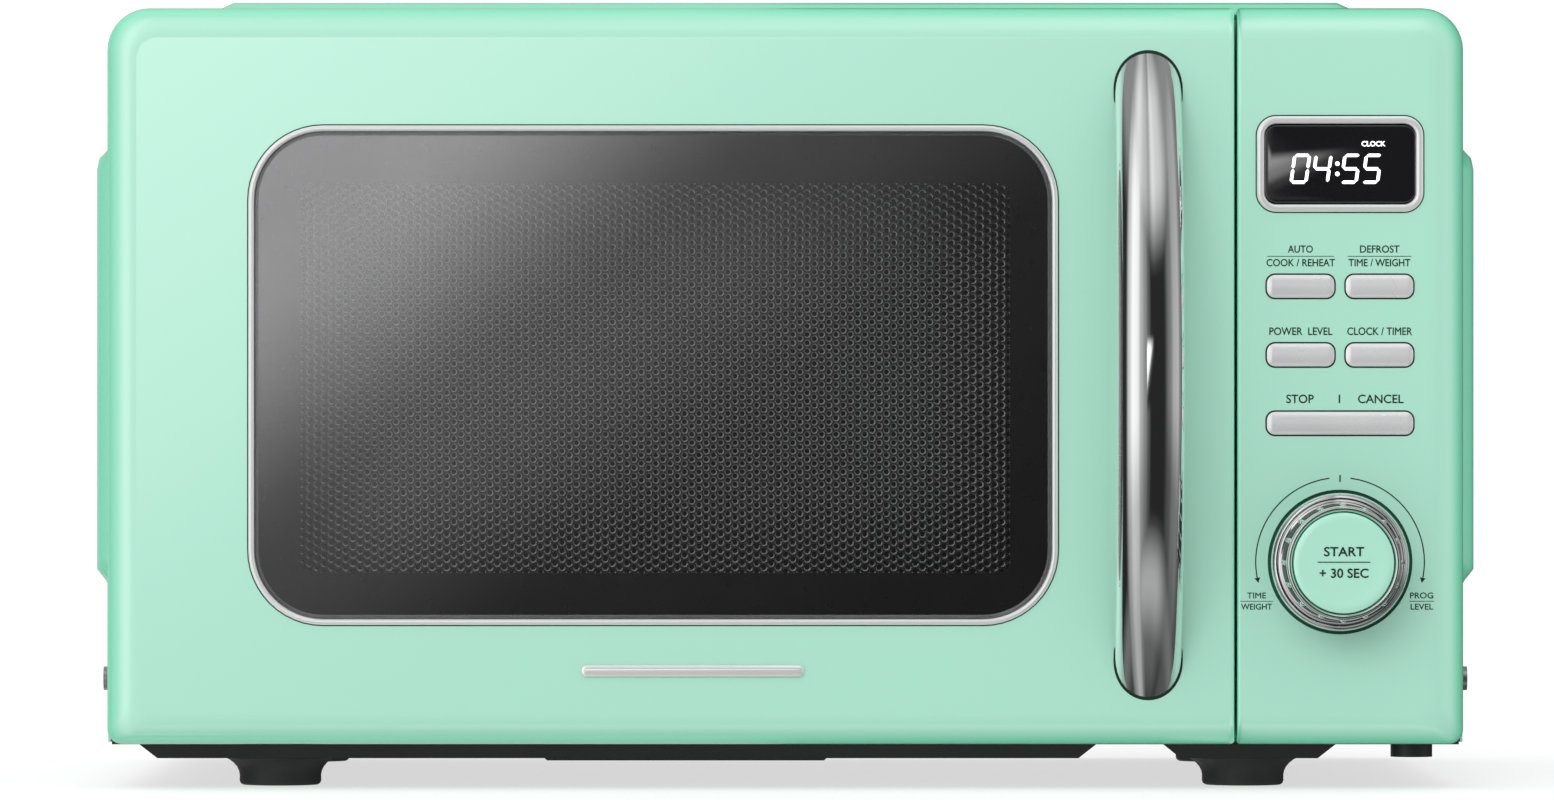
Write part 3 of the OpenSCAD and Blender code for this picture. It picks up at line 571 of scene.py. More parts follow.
def make_mint(name, rough, grain, relief, patch):
    """Glossy mint with painted shade: the colour darkens and deepens on the rolled edges and the
    sides, which turn away from the front.
    """
    material, tree, shader = new_material(name)
    # painted shade: the colour runs to the deep mint as the normal turns away from -Y
    facing = maths(tree, "ABSOLUTE", axis_of(tree, "Normal", "Y"))
    uneven = maths(tree, "MULTIPLY_ADD", noise_field(tree, patch, 2.0), 0.06, facing)
    ramp = color_ramp(tree, uneven, [(0.45, MINT_SHADE), (1.0, MINT)])
    ramp.color_ramp.interpolation = "EASE"
    tree.links.new(ramp.outputs["Color"], shader.inputs["Base Color"])
    vary(tree, shader, "Roughness", rough * 0.9, rough * 1.1, patch * 3)
    shader.inputs["Coat Weight"].default_value = 1.0
    shader.inputs["Coat IOR"].default_value = 2.0
    shader.inputs["Coat Roughness"].default_value = 0.10
    add_bump(tree, shader, grain, relief, detail=0.0)
    return material


def make_materials():
    m = {name: surface(name, *row, stretch=STRETCH.get(name)) for name, row in FINISHES.items()}
    m["mint_plastic"] = make_mint("mint_plastic", 0.34, 420, 0.03, 9)
    m["mint_paint"] = make_mint("mint_paint", 0.38, 300, 0.06, 7)
    m["dark_glass"] = make_glass("dark_glass", (0.62, 0.62, 0.63), 0.32, metallic=1.0)
    m["display_glass"] = make_glass("display_glass", (0.006, 0.006, 0.007), 0.96, ior=2.4)
    m["clear_glass"] = make_glass("clear_glass", (0.62, 0.80, 0.74), 0.32)
    m["clear_film"] = make_glass("clear_film", (0.03, 0.03, 0.03), 0.55, rough=0.25, ior=1.25)
    m["digits"] = make_glow("digits", (1, 1, 1), 1.15)
    return m


def make_glass(name, color, alpha, rough=0.02, ior=1.5, metallic=0.0):
    """Thin glass: alpha is what it hides; metallic makes it the half-mirror of an oven door."""
    material, tree, shader = new_material(name)
    vary(tree, shader, "Base Color", tint(color, 0.9), tint(color, 1.1), 12)
    vary(tree, shader, "Roughness", rough, rough * 2, 25)
    shader.inputs["Alpha"].default_value = alpha
    shader.inputs["IOR"].default_value = ior
    shader.inputs["Metallic"].default_value = metallic
    return material


def make_glow(name, color, strength):
    material, tree, shader = new_material(name)
    vary(tree, shader, "Base Color", tint(color, 0.9), color, 400)
    shader.inputs["Emission Color"].default_value = (*color, 1)
    shader.inputs["Emission Strength"].default_value = strength
    return material


# ---- door ------------------------------------------------------------------

EDGE = 10 * MM
CROWN = 14 * MM
WALL = 2.6 * MM
SEAM = 1.2 * MM
SEAM_FILL = 0.2 * MM
SEAM_R = 1.5 * MM
FOOT_R = 5 * MM
TRIM_R = 24.8 * MM
RIM_DEPTH = 3.2 * MM
BUTTONS = ["cook_button", "defrost_button", "power_button", "clock_button", "stop_button"]
BUTTON_FLANGE = 1.3 * MM
BUTTON_GAP = 0.5 * MM
DIAL_HOLE_R = 23.95


def shell(name, box, back_y, radii, edges, back_edges, material, window=None, arc=10, run=10):
    """A moulded shell: rolled front, side walls, a turned-in rear rim and its inside.

    edges and back_edges are the radii of the rolled edges in front and behind, bottom,
    right, top, left. A window is (box, radius) and goes through the front.
    """
    steps = 10
    flat = [corner_at_flat(edges, k) for k in range(4)]
    front = roll(box, radii, FACE_Y, edges, edges, steps, arc, run, flat=flat)[::-1]
    guard = outline(inset(box, [e + 0.5 * MM for e in edges]), flat, FACE_Y, arc, run)
    rear = roll(box, radii, back_y, [-e for e in back_edges], back_edges, 6, arc, run)
    rings = []
    inner_front = FACE_Y + WALL
    if window:
        hole, radius = window
        lip = 0.3 * MM
        rings.append(outline(hole, radius, inner_front, arc, run))
        rings.append(outline(hole, radius, FACE_Y + lip, arc, run))
        rings.append(outline(inset(hole, -lip), radius + lip, FACE_Y, arc, run))
        rings.append(outline(inset(hole, -3 * lip), radius + 3 * lip, FACE_Y, arc, run))
        rings += between(rings[-1], guard, 5)
    rings.append(guard)
    rings += front
    rings += between(front[-1], rear[0], 4)
    rings += rear
    # inside: from the rear rim along the walls to the front wall's rear face
    inner = inset(box, WALL)
    inner_radii = [max(r - WALL, 0.8 * MM) for r in radii]
    rim = [max(WALL, e) for e in back_edges]
    rings.append(outline(inset(box, rim), inner_radii, back_y, arc, run))
    rings.append(outline(inset(box, rim), inner_radii, back_y - WALL, arc, run))
    rings.append(outline(inner, inner_radii, back_y - RIM_DEPTH - max(back_edges), arc, run))
    turned = [max(e - WALL, 0.5 * MM) for e in edges]
    rings += roll(inner, inner_radii, inner_front, turned, turned, 5, arc, run)
    return loft(name, rings, material, closed=bool(window))


def make_door(m):
    box = (DOOR_X[0], DOOR_Z[0], DOOR_X[1] + SEAM_FILL, DOOR_Z[1])
    hole = (front_box("window_trim", 1 * MM), TRIM_R - 1 * MM)
    rim = 0.8 * MM
    door = shell("door_shell", box, DOOR_Y[1], (FOOT_R, SEAM_R, SEAM_R, CROWN),
                 (EDGE, SEAM, EDGE, EDGE), (rim, rim, rim, 7.9 * MM), m["mint_plastic"], hole)
    # notches that let the hinge arms in
    deep, across, half = 16.4 * MM, 14 * MM, 1.6 * MM
    over = 2 * MM
    cutters = []
    for z in (middle_of_arm("lower"), middle_of_arm("upper")):
        cutters.append(block("notch", (DOOR_X[0] - over, DOOR_Y[1] - deep, z - half),
                             (DOOR_X[0] + across, DOOR_Y[1] + over, z + half), m["gap_shade"]))
    carve(door, cutters)
    finish_mesh(door, m["mint_plastic"])
    place(door, "door", "mint_plastic", "door_frame")


def middle_of_arm(which):
    """Height of a hinge arm: the end of its bracket that the pin stands on."""
    low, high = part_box("hinge_bracket_" + which)
    half_arm = 1 * MM
    return low.z + half_arm if which == "lower" else high.z - half_arm


def make_panel(m):
    box = (PANEL_X[0] - SEAM_FILL, PANEL_Z[0], PANEL_X[1], PANEL_Z[1])
    panel = shell("panel_shell", box, PANEL_Y[1], (SEAM_R, FOOT_R, CROWN, SEAM_R),
                  (EDGE, EDGE + 2 * MM, EDGE, SEAM), four(0.6 * MM), m["mint_plastic"], run=6)
    cutters = [prism(front_box(node, BUTTON_FLANGE - BUTTON_GAP), 3.2 * MM, m["gap_shade"])
               for node in BUTTONS]
    cutters.append(prism(front_box("display_bezel", 2.0 * MM), 4.4 * MM, m["gap_shade"]))
    dial = middle("dial_ring")
    cutters.append(lathe("hole", (dial.x, FACE_Y + 5 * MM, dial.z), (0, -1, 0),
                         [(DIAL_HOLE_R, 0), (DIAL_HOLE_R, 8)], m["gap_shade"], 72))
    carve(panel, cutters)
    finish_mesh(panel, m["mint_plastic"])
    place(panel, "cabinet", "mint_plastic", "control_panel_fascia")


def prism(box, radius, material):
    """A cutter through the front wall."""
    rings = [outline(box, radius, FACE_Y + d, 8, 1) for d in (-3 * MM, WALL + 2 * MM)]
    return loft("cutter", rings, material)


def pill(name, box, radius, y_front, y_back, depth, draw_in, material, steps=8):
    """A solid with a rolled front edge and a flat face."""
    rings = [outline(box, radius, y_back, 8, 3)]
    rings += roll(box, radius, y_front, depth, draw_in, steps, 8, 3)
    return loft(name, rings, material, angle=40)


def barrel(name, box, y_front, y_back, material):
    """A key like a lying barrel: round across, with bevelled ends and rounded corners."""
    x0, z0, x1, z1 = box
    half = (z1 - z0) / 2
    middle_z = (z0 + z1) / 2
    corner, bevel_run, least, steps = 2.8 * MM, 1.7 * MM, 0.12 * MM, 12
    foot_y = FACE_Y + 0.5 * MM
    rings = [outline(box, corner, y_back, 8, 10)]
    for k in range(steps + 1):
        shrink = half * 0.96 * k / steps
        ends = min(shrink, bevel_run + 0.25 * (shrink - bevel_run))
        inner = inset(box, (shrink, ends, shrink, ends))
        ring = []
        for px, _, pz in outline(inner, max(corner - shrink, least), 0, 8, 10):
            across = 0.93 * (pz - middle_z) / half
            end = min(px - x0, x1 - px) / bevel_run
            bevel = 1 - 0.34 * max(0, 1 - end) ** 1.2
            rise = bevel * math.sqrt(max(0, 1 - across ** 2)) ** 0.8
            ring.append((px, foot_y - (foot_y - y_front) * rise, pz))
        rings.append(ring)
    return loft(name, rings, material, angle=38)


def make_buttons(m):
    face_depth, stem_r = 5 * MM, 2
    stem_start = 4.9 * MM
    for node in BUTTONS:
        spot = middle(node)
        _, (y0, y1), _ = span(node)
        face = barrel(node + "_face", front_box(node, BUTTON_FLANGE), y0, FACE_Y + face_depth,
                      m["satin"])
        length = (y1 - FACE_Y - stem_start) / MM
        stem = lathe("stem", (spot.x, FACE_Y + stem_start, spot.z), (0, 1, 0),
                     [(stem_r, 0), (stem_r, length)], m["white_plastic"], 24)
        place(join(node + "_piece", [face, stem]), node.split("_")[0], "chrome", node)


def frame_ring(name, box, radius, width, y_face, y_seat, depth, material):
    """A trim ring: its outer edge rolls over the face to its inner edge."""
    half, foot_y = width / 2, y_seat + 0.02 * MM
    arc, run = 12, 8
    outer = roll(box, radius, y_face, y_seat - y_face, half * 0.8, 6, arc, run)
    hole = inset(box, width)
    inner = roll(hole, radius - width, y_face, y_seat - y_face, -half * 0.8, 6, arc, run)[::-1]
    tenon, tenon_r = inset(box, width * 0.55), radius - width * 0.55
    rings = [outline(box, radius, foot_y, arc, run)] + outer + inner
    rings += [outline(hole, radius - width, y_seat + depth, arc, run),
              outline(tenon, tenon_r, y_seat + depth, arc, run),
              outline(tenon, tenon_r, foot_y, arc, run)]
    return loft(name, rings, material, closed=True, angle=50)


SEAT = 0.35 * MM


def shade_line(name, box, radius, depth, material):
    """Painted shade: a dark line laid on the moulding round a trim, where the joint's shadow falls.
    """
    return frame_ring(name, inset(box, -SEAT), radius + SEAT, 1.2 * MM, FACE_Y - 0.12 * MM,
                      FACE_Y, depth, material)


def make_window(m):
    _, (y0, _), _ = span("window_trim")
    box = front_box("window_trim")
    trim = frame_ring("window_trim_ring", box, TRIM_R, 2 * MM, y0, FACE_Y, 4 * MM, m["trim"])
    place(trim, "door", "chrome", "window_trim")
    line = shade_line("window_shade_line", box, TRIM_R, 1.5 * MM, m["gap_shade"])
    place(line, "door", "black_plastic")
    _, (y0, y1), _ = span("window_glass")
    box, radius, bevel = front_box("window_glass"), 22.7 * MM, 1.3 * MM
    rings = [outline(box, radius, y, 12, 8) for y in (y1, y0 + 1.0 * MM)]
    rings.append(outline(inset(box, bevel), radius - bevel, y0, 12, 8))
    glass = loft("window_pane", rings, m["dark_glass"], angle=20)
    place(glass, "door", "dark_glass", "window_glass")
    # the black border printed behind the glass, with the viewing area left clear
    within = 0.4 * MM
    near, far = y1 + 0.05 * MM, y1 + 0.25 * MM
    outer = [outline(inset(box, within), radius - within, y, 12, 8) for y in (near, far)]
    inner = [outline(VIEW_AREA, 3.5 * MM, y, 12, 8) for y in (near, far)]
    mask = loft("window_border", [inner[0], outer[0], outer[1], inner[1]], m["border"],
                closed=True, angle=30)
    place(mask, "door", "dark_glass")


WINDOW = middle("window_glass")
VIEW_AREA = (WINDOW.x - 116.8 * MM, WINDOW.z - 65.5 * MM,
             WINDOW.x + 118.1 * MM, WINDOW.z + 63.6 * MM)
HOLE_PITCH = 2.77 * MM


def make_screen(m):
    """The perforated sheet: punched holes on a triangular lattice, each a small funnel."""
    _, (y0, y1), _ = span("door_screen")
    pitch = HOLE_PITCH
    column = pitch * math.sqrt(3) / 2
    margin = 2 * MM
    holes = inset(VIEW_AREA, -margin)
    left, low, right, high = holes
    columns = int((right - left) / column)
    rows = int((high - low) / pitch)
    start_x = (left + right) / 2 - (columns - 1) / 2 * column
    start_z = (low + high) / 2 - (rows - 0.5) / 2 * pitch
    ix, iz = np.meshgrid(np.arange(columns), np.arange(rows), indexing="ij")
    centre_x = (start_x + ix * column).ravel()
    centre_z = (start_z + (iz + 0.5 * (ix % 2)) * pitch).ravel()
    # twelve points round each cell's hexagon, corners and edge middles in turn
    sides = 12
    angles = np.radians(30 * np.arange(sides))
    reach = np.where(np.arange(sides) % 2 == 0, pitch / math.sqrt(3), pitch / 2)
    rim, throat = 1.18 * MM, 0.80 * MM
    layers = [(reach, y0), (np.full(sides, rim), y0), (np.full(sides, throat), y0 + 0.22 * MM),
              (np.full(sides, throat - 0.06 * MM), y1)]
    cells = len(centre_x)
    points = np.zeros((cells, len(layers), sides, 3))
    for k, (radius, y) in enumerate(layers):
        points[:, k, :, 0] = centre_x[:, None] + radius * np.cos(angles)
        points[:, k, :, 1] = y
        points[:, k, :, 2] = centre_z[:, None] + radius * np.sin(angles)
    base = np.arange(cells)[:, None] * len(layers) * sides
    faces = []
    for k in range(len(layers) - 1):
        i = np.arange(sides)
        a, b = k * sides + i, k * sides + (i + 1) % sides
        quad = np.stack([base + a, base + b, base + b + sides, base + a + sides], axis=-1)
        faces.append(quad.reshape(-1, 4))
    is_edge = np.repeat([0, 1, 0], cells * sides).astype(np.int32)
    mesh = new_mesh("door_mesh", points.reshape(-1, 3).tolist(), np.concatenate(faces).tolist())
    mesh.polygons.foreach_set("material_index", is_edge)
    weld = bmesh.new()
    weld.from_mesh(mesh)
    bmesh.ops.remove_doubles(weld, verts=weld.verts, dist=0.02 * MM)
    # the plain sheet round the holes
    behind = y0 + 0.35 * MM
    edge = outline(front_box("door_screen"), 6 * MM, behind, 4, 1)
    inside = outline(inset(holes, margin * 0.4), 1 * MM, behind, 4, 1)
    ring = [weld.verts.new(p) for p in edge + inside]
    n = len(edge)
    for i in range(n):
        j = (i + 1) % n
        weld.faces.new((ring[i], ring[j], ring[n + j], ring[n + i]))
    weld.to_mesh(mesh)
    weld.free()
    # finish_mesh clears which faces are hole edges, so they are read before and set after
    kept = np.zeros(len(mesh.polygons), dtype=np.int32)
    mesh.polygons.foreach_get("material_index", kept)
    screen = finish_mesh(link("door_mesh", mesh), m["screen_paint"], 12)
    mesh.materials.append(m["punched_edge"])
    mesh.polygons.foreach_set("material_index", kept)
    place(screen, "door", "screen_paint", "door_screen")


def make_handle(m):
    (x0, x1), (y0, y1), (z0, z1) = span("door_handle")
    width, out, length = x1 - x0, FACE_Y - y0, z1 - z0
    # the radius of the bow, whose ends touch the door
    bow = (length ** 2 / 4 + out ** 2) / (2 * out)
    thick, front = 10.5 * MM, 7.4 * MM
    seat_grow, seat_out, seat_in = 0.45 * MM, 0.35 * MM, 0.2 * MM
    centre = Vector(((x0 + x1) / 2, y0 + bow, (z0 + z1) / 2))
    reach = math.asin(length / 2 / bow) + math.radians(4)

    def section(grow):
        """Across the bar: a half-elliptical front and a nearly flat back."""
        points = []
        sides = 48
        for k in range(sides):
            a = 2 * math.pi * k / sides
            c, s = math.cos(a), math.sin(a)
            power = 1.0 if s > 0 else 0.42
            u = math.copysign(abs(c) ** power, c) * (width / 2 + grow)
            v = math.copysign(abs(s) ** power, s)
            v = v * (front + grow) if s > 0 else v * (thick - front + grow)
            points.append((u, v))
        return points

    def sweep(name, grow, material):
        ring_count = 120
        rings = []
        for i in range(ring_count + 1):
            a = -reach + 2 * reach * i / ring_count
            rings.append([(centre.x + u, centre.y - (bow - front + v) * math.cos(a),
                           centre.z + (bow - front + v) * math.sin(a)) for u, v in section(grow)])
        return loft(name, rings, material, angle=40)

    def slab(name, y_low, y_high):
        far = 60 * MM
        return block(name, (x0 - far, y_low, z0 - far), (x1 + far, y_high, z1 + far), m["gap_shade"])

    bar = sweep("door_handle_bar", 0, m["chrome"])
    carve(bar, [slab("cut", FACE_Y, FACE_Y + 120 * MM)])
    place(finish_mesh(bar, m["chrome"], 40), "door", "chrome", "door_handle")
    # painted shade: a thin ring round the handle's feet in the joint's near-black green, where the
    # joint is shaded
    seat = sweep("handle_seat", seat_grow, m["gap_shade"])
    carve(seat, [slab("keep", FACE_Y - seat_out, FACE_Y + seat_in)], "INTERSECT")
    place(finish_mesh(seat, m["gap_shade"], 40), "door", "black_plastic")


def make_badge(m):
    _, (y0, _), (z0, z1) = span("door_badge")
    bar = pill("door_badge_bar", front_box("door_badge"), (z1 - z0) / 2 - 0.05 * MM, y0, FACE_Y,
               0.9 * MM, 1.6 * MM, m["trim"])
    place(bar, "door", "chrome", "door_badge")


# ---- control panel ---------------------------------------------------------


def make_display(m):
    _, (y0, _), _ = span("display_bezel")
    box, radius = front_box("display_bezel"), 6.5 * MM
    bezel = frame_ring("display_bezel_ring", box, radius, 2.6 * MM, y0, FACE_Y, 3 * MM, m["trim"])
    place(bezel, "cabinet", "chrome", "display_bezel")
    line = shade_line("display_shade_line", box, radius, 1 * MM, m["gap_shade"])
    place(line, "cabinet", "black_plastic")
    _, (y0, y1), _ = span("display_window")
    bevel = 0.4 * MM
    pane = pill("display_pane", front_box("display_window"), 3.9 * MM, y0, y1, bevel, bevel,
                m["display_glass"], 3)
    place(pane, "cabinet", "display_glass", "display_window")
    centre = middle("display_window")
    make_digits(m, centre.x - 1.0 * MM, centre.z - 1.6 * MM, y0 - 0.03 * MM)


SEGMENTS = {"0": "abcdef", "4": "fgbc", "5": "afgcd"}


def make_digits(m, x, z, y):
    """A seven-segment clock reading, slanted, drawn as thin bars."""
    height, width, bar, slant = 8.9 * MM, 4.9 * MM, 1.05 * MM, 0.14
    dot_r, dot_up, advance, second = 0.75 * MM, 1.7 * MM, 7.1 * MM, 2.0 * MM
    bm = bmesh.new()

    def stroke(x0, z0, x1, z1):
        a, b = Vector((x0, z0)), Vector((x1, z1))
        along = (b - a).normalized()
        side = Vector((-along.y, along.x)) * bar / 2
        start, end = a + along * bar * 0.62, b - along * bar * 0.62
        tip = along * 0.12 * bar
        flat = [a + tip, start + side, end + side, b - tip, end - side, start - side]
        bm.faces.new([bm.verts.new((p.x + (p.y - z) * slant, y, p.y)) for p in flat])

    def dot(dot_x, dot_z):
        turns = [math.radians(30 * k) for k in range(12)]
        bm.faces.new([bm.verts.new((dot_x + dot_r * math.cos(a), y, dot_z + dot_r * math.sin(a)))
                      for a in turns])

    starts = [-14.6 * MM, -14.6 * MM + advance, 0, second, second + advance]
    for character, start in zip("04:55", starts):
        left = x + start
        right, low, high = left + width, z - height / 2, z + height / 2
        if character == ":":
            dot(left + 0.1 * MM, z - dot_up)
            dot(left + 0.1 * MM, z + dot_up)
            continue
        ends = {"a": (left, high, right, high), "b": (right, high, right, z),
                "c": (right, z, right, low), "d": (left, low, right, low),
                "e": (left, low, left, z), "f": (left, z, left, high), "g": (left, z, right, z)}
        for letter in SEGMENTS[character]:
            stroke(*ends[letter])
    flat_print("clock_digits", bm, m["digits"], "cabinet", "display_glass")
    words("clock_word", "CLOCK", x + 12.0 * MM, z + 8.2 * MM, y, 1.6, m["digits"], "cabinet",
          "display_glass", bold=0.04)


# about the height of a capital in the built-in typeface at size 1: flat ones are 0.68, round 0.70
CAPITAL = 0.69


def words(name, text, x, z, y, size, material, body, slot, bold=0.022, width=None):
    """Generic function words printed on a surface.

    size is a capital's height and width the whole line's, both in mm; bold, as a share of
    size, is how far the strokes are widened by four copies set apart.
    """
    data = bpy.data.curves.new(name, "FONT")
    data.body = text
    data.align_x, data.align_y = "CENTER", "CENTER"
    data.resolution_u = 4
    item = link(name, data)
    bpy.context.view_layer.update()
    mesh = bpy.data.meshes.new_from_object(item.evaluated_get(bpy.context.evaluated_depsgraph_get()))
    stand = Matrix.Rotation(math.radians(90), 4, "X")
    mesh.transform(Matrix.Translation((x, y, z)) @ stand @ Matrix.Scale(size * MM / CAPITAL, 4))
    bpy.data.objects.remove(item)
    if width:
        xs = [v.co.x for v in mesh.vertices]
        scale = width * MM / (max(xs) - min(xs))
        for v in mesh.vertices:
            v.co.x = x + (v.co.x - x) * scale
    copies = []
    for k, (right, up) in enumerate(((-1, 0), (1, 0), (0, -1), (0, 1))):
        copy = mesh.copy()
        apart = bold * size * MM
        copy.transform(Matrix.Translation((right * apart, -0.002 * MM * k, up * apart)))
        copies.append(finish_mesh(link(name + "_ink", copy), material))
    place(join(name, copies), body, slot)


def rule(name, x, z, y, width, thick, material, body, slot):
    """A printed line with its middle at x, z; width and thick are in mm."""
    w, h = width / 2 * MM, thick / 2 * MM
    corners = [(x - w, y, z - h), (x + w, y, z - h), (x + w, y, z + h), (x - w, y, z + h)]
    mesh = new_mesh(name, corners, [(0, 1, 2, 3)])
    place(finish_mesh(link(name, mesh), material), body, slot)


# name, words or None for a line, the node it belongs to, then in mm: how far to the right
# of that node's middle and above it, the capitals' height or the line's, and the width
LABELS = [
    ("auto", "AUTO", "cook_button", 0, 12.2, 2.35, 8.2),
    ("cook_rule", None, "cook_button", 0, 9.95, 0.22, 22.2),
    ("cook", "COOK / REHEAT", "cook_button", 0, 7.7, 2.35, 22.6),
    ("defrost", "DEFROST", "defrost_button", 0, 12.2, 2.35, 13.0),
    ("defrost_rule", None, "defrost_button", 0, 9.95, 0.22, 21.2),
    ("time_weight", "TIME / WEIGHT", "defrost_button", 0, 7.7, 2.35, 20.4),
    ("power", "POWER  LEVEL", "power_button", 0, 7.7, 2.45, 20.8),
    ("clock", "CLOCK / TIMER", "clock_button", 0, 7.7, 2.45, 21.4),
    ("stop", "STOP", "stop_button", -13.3, 7.9, 2.75, 9.0),
    ("bar", "I", "stop_button", -0.2, 7.9, 2.75, None),
    ("cancel", "CANCEL", "stop_button", 13.4, 7.9, 2.75, 15.0),
    ("time", "TIME", "dial_ring", -27.6, -11.2, 1.9, 6.2),
    ("time_rule", None, "dial_ring", -27.6, -13.0, 0.2, 10.9),
    ("weight", "WEIGHT", "dial_ring", -27.6, -14.9, 1.9, 10.2),
    ("prog", "PROG", "dial_ring", 27.0, -11.2, 1.9, 7.6),
    ("prog_rule", None, "dial_ring", 27.0, -13.0, 0.2, 8.2),
    ("level", "LEVEL", "dial_ring", 27.0, -14.9, 1.9, 7.4),
]


def make_labels(m):
    y = FACE_Y - 0.04 * MM
    ink = (m["print"], "cabinet", "mint_plastic")
    for name, text, node, right, up, size, width in LABELS:
        about = middle(node)
        x, z = about.x + right * MM, about.z + up * MM
        if text:
            words("label_" + name, text, x, z, y, size, *ink, width=width)
        else:
            rule("label_" + name, x, z, y, width, size, *ink)
    make_scale(m, middle("dial_ring"), y)


def make_scale(m, dial, y):
    """The printed arc round the dial: two sweeps with arrowheads, and a mark at the top."""
    radius, thick, head = 27.9 * MM, 0.40 * MM, 0.95 * MM
    start, end, tip = (math.radians(a) for a in (7.2, 101, 104.4))
    steps = 60
    bm = bmesh.new()
    for sign in (-1, 1):
        def at(r, a):
            return bm.verts.new((dial.x + sign * r * math.sin(a), y, dial.z + r * math.cos(a)))

        last = None
        for k in range(steps + 1):
            a = start + (end - start) * k / steps
            pair = [at(radius - thick / 2, a), at(radius + thick / 2, a)]
            if last:
                bm.faces.new((last[0], last[1], pair[1], pair[0]))
            last = pair
        for r in (radius - head, radius + head):
            bm.faces.new([at(r, end - math.radians(0.2)), at(radius, tip), at(radius, end)])
    w, low, high = 0.25 * MM, radius - 1.4 * MM, radius + 0.9 * MM
    bm.faces.new([bm.verts.new((dial.x + i, y, dial.z + j))
                  for i, j in ((-w, low), (w, low), (w, high), (-w, high))])
    flat_print("dial_scale", bm, m["print"], "cabinet", "mint_plastic")


def make_dial(m):
    """The turning ring with its grip ridges and the centre button, with painted shade: a black band
    over the grip wall between the ridges, and a dark green ring behind the dial that fills the gap
    round it.
    """
    (x0, x1), (y0, y1), _ = span("dial_ring")
    centre = middle("dial_ring")
    seat = (centre.x, FACE_Y, centre.z)
    out = (0, -1, 0)
    # millimetres, with distances along -Y from the face; the grip tapers a little to the front
    flange, grip, bore, bush = (x1 - x0) / 2 / MM, 18.9, 17.0, 15.0
    front, back = (FACE_Y - y0) / MM, (y1 - FACE_Y) / MM
    profile = [(bush, -back), (flange, -back), (flange, 1.6), (flange - 0.4, 2.3),
               (flange - 1.0, 2.9), (flange - 1.5, 3.1), (flange - 1.9, 2.7),
               (flange - 2.3, 2.2), (grip + 1.2, 2.0), (grip + 0.5, 2.4), (grip + 0.4, 3.5),
               (grip, front - 4.6), (grip - 0.1, front - 3.4), (grip - 0.1, front - 0.9),
               (grip - 0.5, front - 0.25), (grip - 1.0, front), (bore + 0.45, front - 0.1),
               (bore, front - 0.6), (bore, front - 5.6), (bush, front - 5.6)]
    ring = lathe("dial_body", seat, out, profile + profile[:1], m["chrome"], 128, 40, ends=False)
    # painted shade: a black band over the chrome grip wall between the ridges, where the groove is
    # shaded
    groove_shade = lathe("groove_shade", seat, out, [(grip + 0.47, 3.4), (grip + 0.08, front - 4.8)],
                   m["black_plastic"], 128, ends=False)
    length = front - 5.6
    ridge = [(0.1, -0.4), (0.95, 0), (0.9, length), (0.6, length + 0.8), (0.1, length + 1.1)]
    ridges = []
    for k in range(16):
        a = 2 * math.pi * k / 16
        r = (grip - 0.15) * MM
        spot = (centre.x + r * math.cos(a), FACE_Y - 3 * MM, centre.z + r * math.sin(a))
        ridges.append(lathe("ridge", spot, out, ridge, m["chrome"], 16, angle=50))
    place(join("dial_piece", [ring, groove_shade] + ridges), "dial", "chrome", "dial_ring")
    # painted shade: a dark green ring behind the dial, seen through the gap round it as the gap's
    # shade
    gap_shade_ring = lathe("dial_gap_shade_ring", seat, out, [(21.5, -2.6), (23.9, -2.6), (23.9, -2.1),
                                              (21.5, -2.1), (21.5, -2.6)], m["dial_gap_shade"], 96, ends=False)
    place(gap_shade_ring, "cabinet", "black_plastic")
    (x0, x1), (y0, y1), _ = span("start_button")
    radius, top, stem = (x1 - x0) / 2 / MM, (FACE_Y - y0) / MM, 12.2
    profile = [(0.1, top - 0.25), (radius * 0.5, top - 0.2), (radius - 3.4, top - 0.12),
               (radius - 2.2, top), (radius - 1.0, top - 0.05), (radius - 0.25, top - 0.5),
               (radius, top - 1.2), (radius, top - 4.5), (stem, top - 4.5),
               (stem, (FACE_Y - y1) / MM), (0.1, (FACE_Y - y1) / MM)]
    cap = lathe("start_cap", seat, out, profile, m["mint_plastic"], 128, angle=30)
    place(cap, "start", "mint_plastic", "start_button")
    ink = (m["print"], "start", "mint_plastic")
    ink_y = y0 + 0.08 * MM
    words("label_start", "START", centre.x, centre.z + 3.6 * MM, ink_y, 2.95, *ink, width=13.1)
    rule("label_start_rule", centre.x, centre.z + 0.3 * MM, ink_y, 17.4, 0.3, *ink)
    words("label_seconds", "+ 30 SEC", centre.x, centre.z - 3.5 * MM, ink_y, 2.95, *ink, width=16.0)


def make_spring(m):
    """The latch's coil spring, of round wire."""
    (x0, x1), (y0, y1), (z0, z1) = span("latch_spring")
    wire, turns, per_turn, sides = 0.45 * MM, 6, 28, 10
    radius = (x1 - x0) / 2 - wire
    centre_x, centre_y = (x0 + x1) / 2, (y0 + y1) / 2
    low, high = z0 + wire, z1 - wire
    rings = []
    count = turns * per_turn
    for i in range(count + 1):
        a = 2 * math.pi * i / per_turn
        height = low + (high - low) * i / count
        ring = []
        for k in range(sides):
            b = 2 * math.pi * k / sides
            r = radius + wire * math.cos(b)
            ring.append((centre_x + r * math.cos(a), centre_y + r * math.sin(a),
                         height + wire * math.sin(b)))
        rings.append(ring)
    spring = loft("latch_coil", rings, m["steel"], angle=50)
    place(spring, "door", "steel", "latch_spring")
    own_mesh(spring)


# ---- casing ----------------------------------------------------------------


